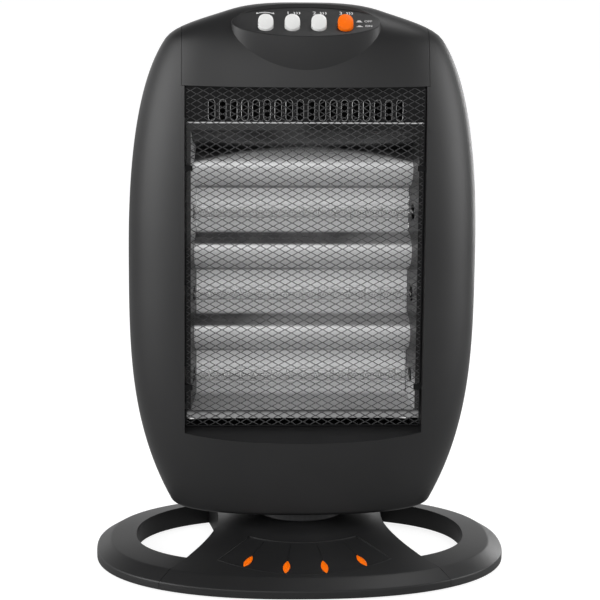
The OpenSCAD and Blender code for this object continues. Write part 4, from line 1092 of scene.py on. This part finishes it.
def rounded_profile(corners, radii, steps=5):
    """Rounds the corners of a line of (r, z) points."""
    result = [corners[0]]
    for k in range(1, len(corners) - 1):
        here = Vector(corners[k])
        back = Vector(corners[k - 1]) - here
        ahead = Vector(corners[k + 1]) - here
        reach = min(radii[k - 1], back.length * 0.45, ahead.length * 0.45)
        start = here + back.normalized() * reach
        end = here + ahead.normalized() * reach
        for j in range(steps + 1):
            t = j / steps
            point = start * (1 - t) ** 2 + here * 2 * t * (1 - t) + end * t ** 2
            result.append((point.x, point.y))
    return result + [corners[-1]]


def divided(line):
    """Splits the apron's long run into short ones, so that it shades evenly."""
    longest = max(range(len(line) - 1),
                  key=lambda k: math.dist(line[k], line[k + 1]) * (line[k][1] > CREASE_Z - 4))
    start, end = line[longest], line[longest + 1]
    middle = [tuple(a + (b - a) * k / APRON_PIECES for a, b in zip(start, end))
              for k in range(1, APRON_PIECES)]
    return line[:longest + 1] + middle + line[longest + 1:]


def hat_solid(name, inset, drop=0.0, collar_drop=0.0):
    """The base's form: oval up to the crease, and round from the collar up to the seat."""
    columns = []
    for k in range(BASE_POINTS):
        a = math.tau * (k + 0.5) / BASE_POINTS
        line = [
            (oval_r(a, inset), 1.5 - drop), (oval_r(a, inset), RIM_Z - inset / 2),
            (oval_r(a, CHAMFER_W + inset / 2), CREASE_Z - inset),
            (COLLAR_R, COLLAR_Z - inset - collar_drop),
            (COLLAR_R - 9, COLLAR_Z + (SEAT_Z - COLLAR_Z) * 0.55 - inset),
            (NECK_R + 6, SEAT_Z - 0.8 - inset), (NECK_R + 2, SEAT_Z - inset),
        ]
        columns.append([(*on_circle(r, a), z) for r, z in divided(rounded_profile(line, PROFILE_RADII))])
    return ring_stack(name, [[column[i] for column in columns] for i in range(len(columns[0]))])


def bridge_half_w(y):
    return 64.5 + (39 if y < 0 else 9) * (y / 84) ** 2


def bridge_outline(narrower=0):
    """The hourglass bridge's plan."""
    rows = [k * BASE_HALF_D / 28 for k in range(-28, 29)]
    half = [bridge_half_w(y) - narrower for y in rows]
    return list(zip(half, rows)) + [(-h, y) for h, y in zip(reversed(half), reversed(rows))]


def windows(name, grow):
    """Both windows: the ring's inner oval less the bridge."""
    both = prism(name, oval_outline(CHAMFER_W + BAND_W - grow), -1, SEAT_Z + 1)
    return cut(both, prism("bridge", bridge_outline(grow), -2, SEAT_Z + 2))


def apron_edge_r(a):
    return oval_r(a, CHAMFER_W)


def apron_z(r, a):
    return COLLAR_Z - (COLLAR_Z - CREASE_Z) * (r - COLLAR_R) / (apron_edge_r(a) - COLLAR_R)


def apron_sector(first_r, second_r):
    """A band across the apron's front between two radii."""
    turns = [math.radians(a) for a in range(-PANEL_TURN, PANEL_TURN + 1)]
    return ([(first_r * math.sin(a), -first_r * math.cos(a)) for a in turns]
            + [(second_r * math.sin(a), -second_r * math.cos(a)) for a in reversed(turns)])


def insert_place(turn):
    """Where an insert sits: on the sunken panel, in the apron's slope."""
    a = math.radians(turn - 90)
    slope = math.atan((COLLAR_Z - CREASE_Z) / (apron_edge_r(a) - COLLAR_R))
    return (Matrix.Rotation(math.radians(turn), 4, "Z")
            @ Matrix.Translation((0, -INSERT_R * MM, (apron_z(INSERT_R, a) - PANEL_SINK) * MM))
            @ Matrix.Rotation(slope, 4, "X"))


def leaf_outline(length, width, grow, steps=16):
    radius = ((length / 2) ** 2 + (width / 2) ** 2) / width
    reach = math.asin(length / 2 / radius)
    outline = []
    for side in (1, -1):
        for k in range(steps):
            a = reach * (-1 + 2 * k / steps)
            across = (radius + grow) * math.cos(a) - radius + width / 2
            outline.append((side * across, side * (radius + grow) * math.sin(a)))
    return outline


cavity = cut(hat_solid("cavity", BASE_WALL, 1), windows("ribs", BASE_WALL))
base_shell = cut(hat_solid("base_shell_moulding", 0), cavity, windows("windows", 0))
flatter = cut(prism("band", oval_outline(CHAMFER_W + 0.6), 8, 60), prism("bridge", bridge_outline(), 5, 62),
              hat_solid("band_floor", 0, collar_drop=3))
cut(base_shell, flatter)
rows = [-64 - 2 * k for k in range(25)]
for side in (-1, 1):
    strip = [(side * (bridge_half_w(y) - SEAM_LINE_HALF_W), y) for y in rows]
    strip += [(side * (bridge_half_w(y) + SEAM_LINE_HALF_W), y) for y in reversed(rows)]
    seam = cut(prism("seam", strip, 3, 40), hat_solid("seam_floor", SEAM_LINE_DEPTH))
    cut(base_shell, seam)
panel = cut(prism("panel", apron_sector(PANEL_IN_R, PANEL_OUT_R), 5, 40),
            hat_solid("panel_floor", PANEL_SINK))
cut(base_shell, panel)
panel_edge = prism("panel_edge", apron_sector(PANEL_OUT_R + 0.6, PANEL_OUT_R - 0.1), 12, 40)
join(base_shell, overlap(panel_edge, hat_solid("proud", -0.3)))
for turn in INSERT_TURNS:
    pocket = prism("pocket", leaf_outline(INSERT_L, INSERT_W, INSERT_GAP), -6, 6)
    pocket.data.transform(insert_place(turn))
    groove = prism("groove", leaf_outline(GROOVE_L, GROOVE_W, 0), -SEAM_LINE_DEPTH, 3)
    groove.data.transform(insert_place(turn) @ Matrix.Translation((0, GROOVE_IN * MM, 0)))
    cut(base_shell, pocket, groove)
cut(base_shell, round_bar("spigot_hole", (0, 0), SPIGOT_HOLE_R, 20, 40, points=64),
    round_bar("gland_hole", (0, GLAND_Z), GLAND_HOLE_R, GLAND_LEDGE_Y, 140, "Y", 40))
finish_piece(base_shell, charcoal, 24)
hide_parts("base_shell")
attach(base_shell, "base")

# Inserts: four leaf-shaped orange mouldings pushed up through the apron from
# inside, with a softly crowned face and a flange that holds them under it.
leaves = []
for turn in INSERT_TURNS:
    rings = [[(a, b, z) for a, b in leaf_outline(INSERT_L, INSERT_W, grow)]
             for grow, z in ((1.2, -3.7), (1.2, -2.7), (0, -2.7))]
    for share in (1, 0.97, 0.9, 0.8, 0.65, 0.45, 0.25, 0.08):
        rise = 0.15 + 0.65 * (1 - share ** 3)
        rings.append([(a * share, b * share, rise) for a, b in leaf_outline(INSERT_L, INSERT_W, 0)])
    leaf = ring_stack("leaf", rings)
    leaf.data.transform(insert_place(turn))
    leaves.append(leaf)
inserts = new_object("orange_inserts", bpy.data.meshes.new("orange_inserts"))
gather(inserts.data, leaves)
finish_piece(inserts, gloss_orange, 40)
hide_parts("base_inserts")
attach(inserts, "base")

# Everything else keeps its CAD shape: the black mouldings under and inside the
# base, the steel swing gear and fasteners, and the electrical parts in the head.
black_moulding = moulded_plastic("black_moulding", (0.018, 0.018, 0.019), (0.03, 0.03, 0.032), 0.45, 0.1)
soft_rubber = moulded_plastic("soft_rubber", (0.022, 0.022, 0.022), (0.03, 0.03, 0.03), 0.75, 0.2,
                              specular=0.3)
nylon = moulded_plastic("natural_nylon", (0.72, 0.71, 0.66), (0.8, 0.79, 0.75), 0.4, 0.06)
dress(black_moulding, "bottom_plate", "cord_gland", "turntable", "tip_switch", "push_switches",
      "bearing_ring")
dress(soft_rubber, "rubber_feet")
dress(nylon, "swing_crank", "terminal_block")
dress(gloss_orange, "tip_plunger")
dress(zinc, "base_screws", "pivot_spigot", "spigot_screws", "anchor_cap", "turntable_screws", "shell_screws",
      "tray_screws", "motor_bracket", "swing_motor", "motor_screws", "swing_link", "switch_plate",
      "switch_screws", "thermal_cutout")
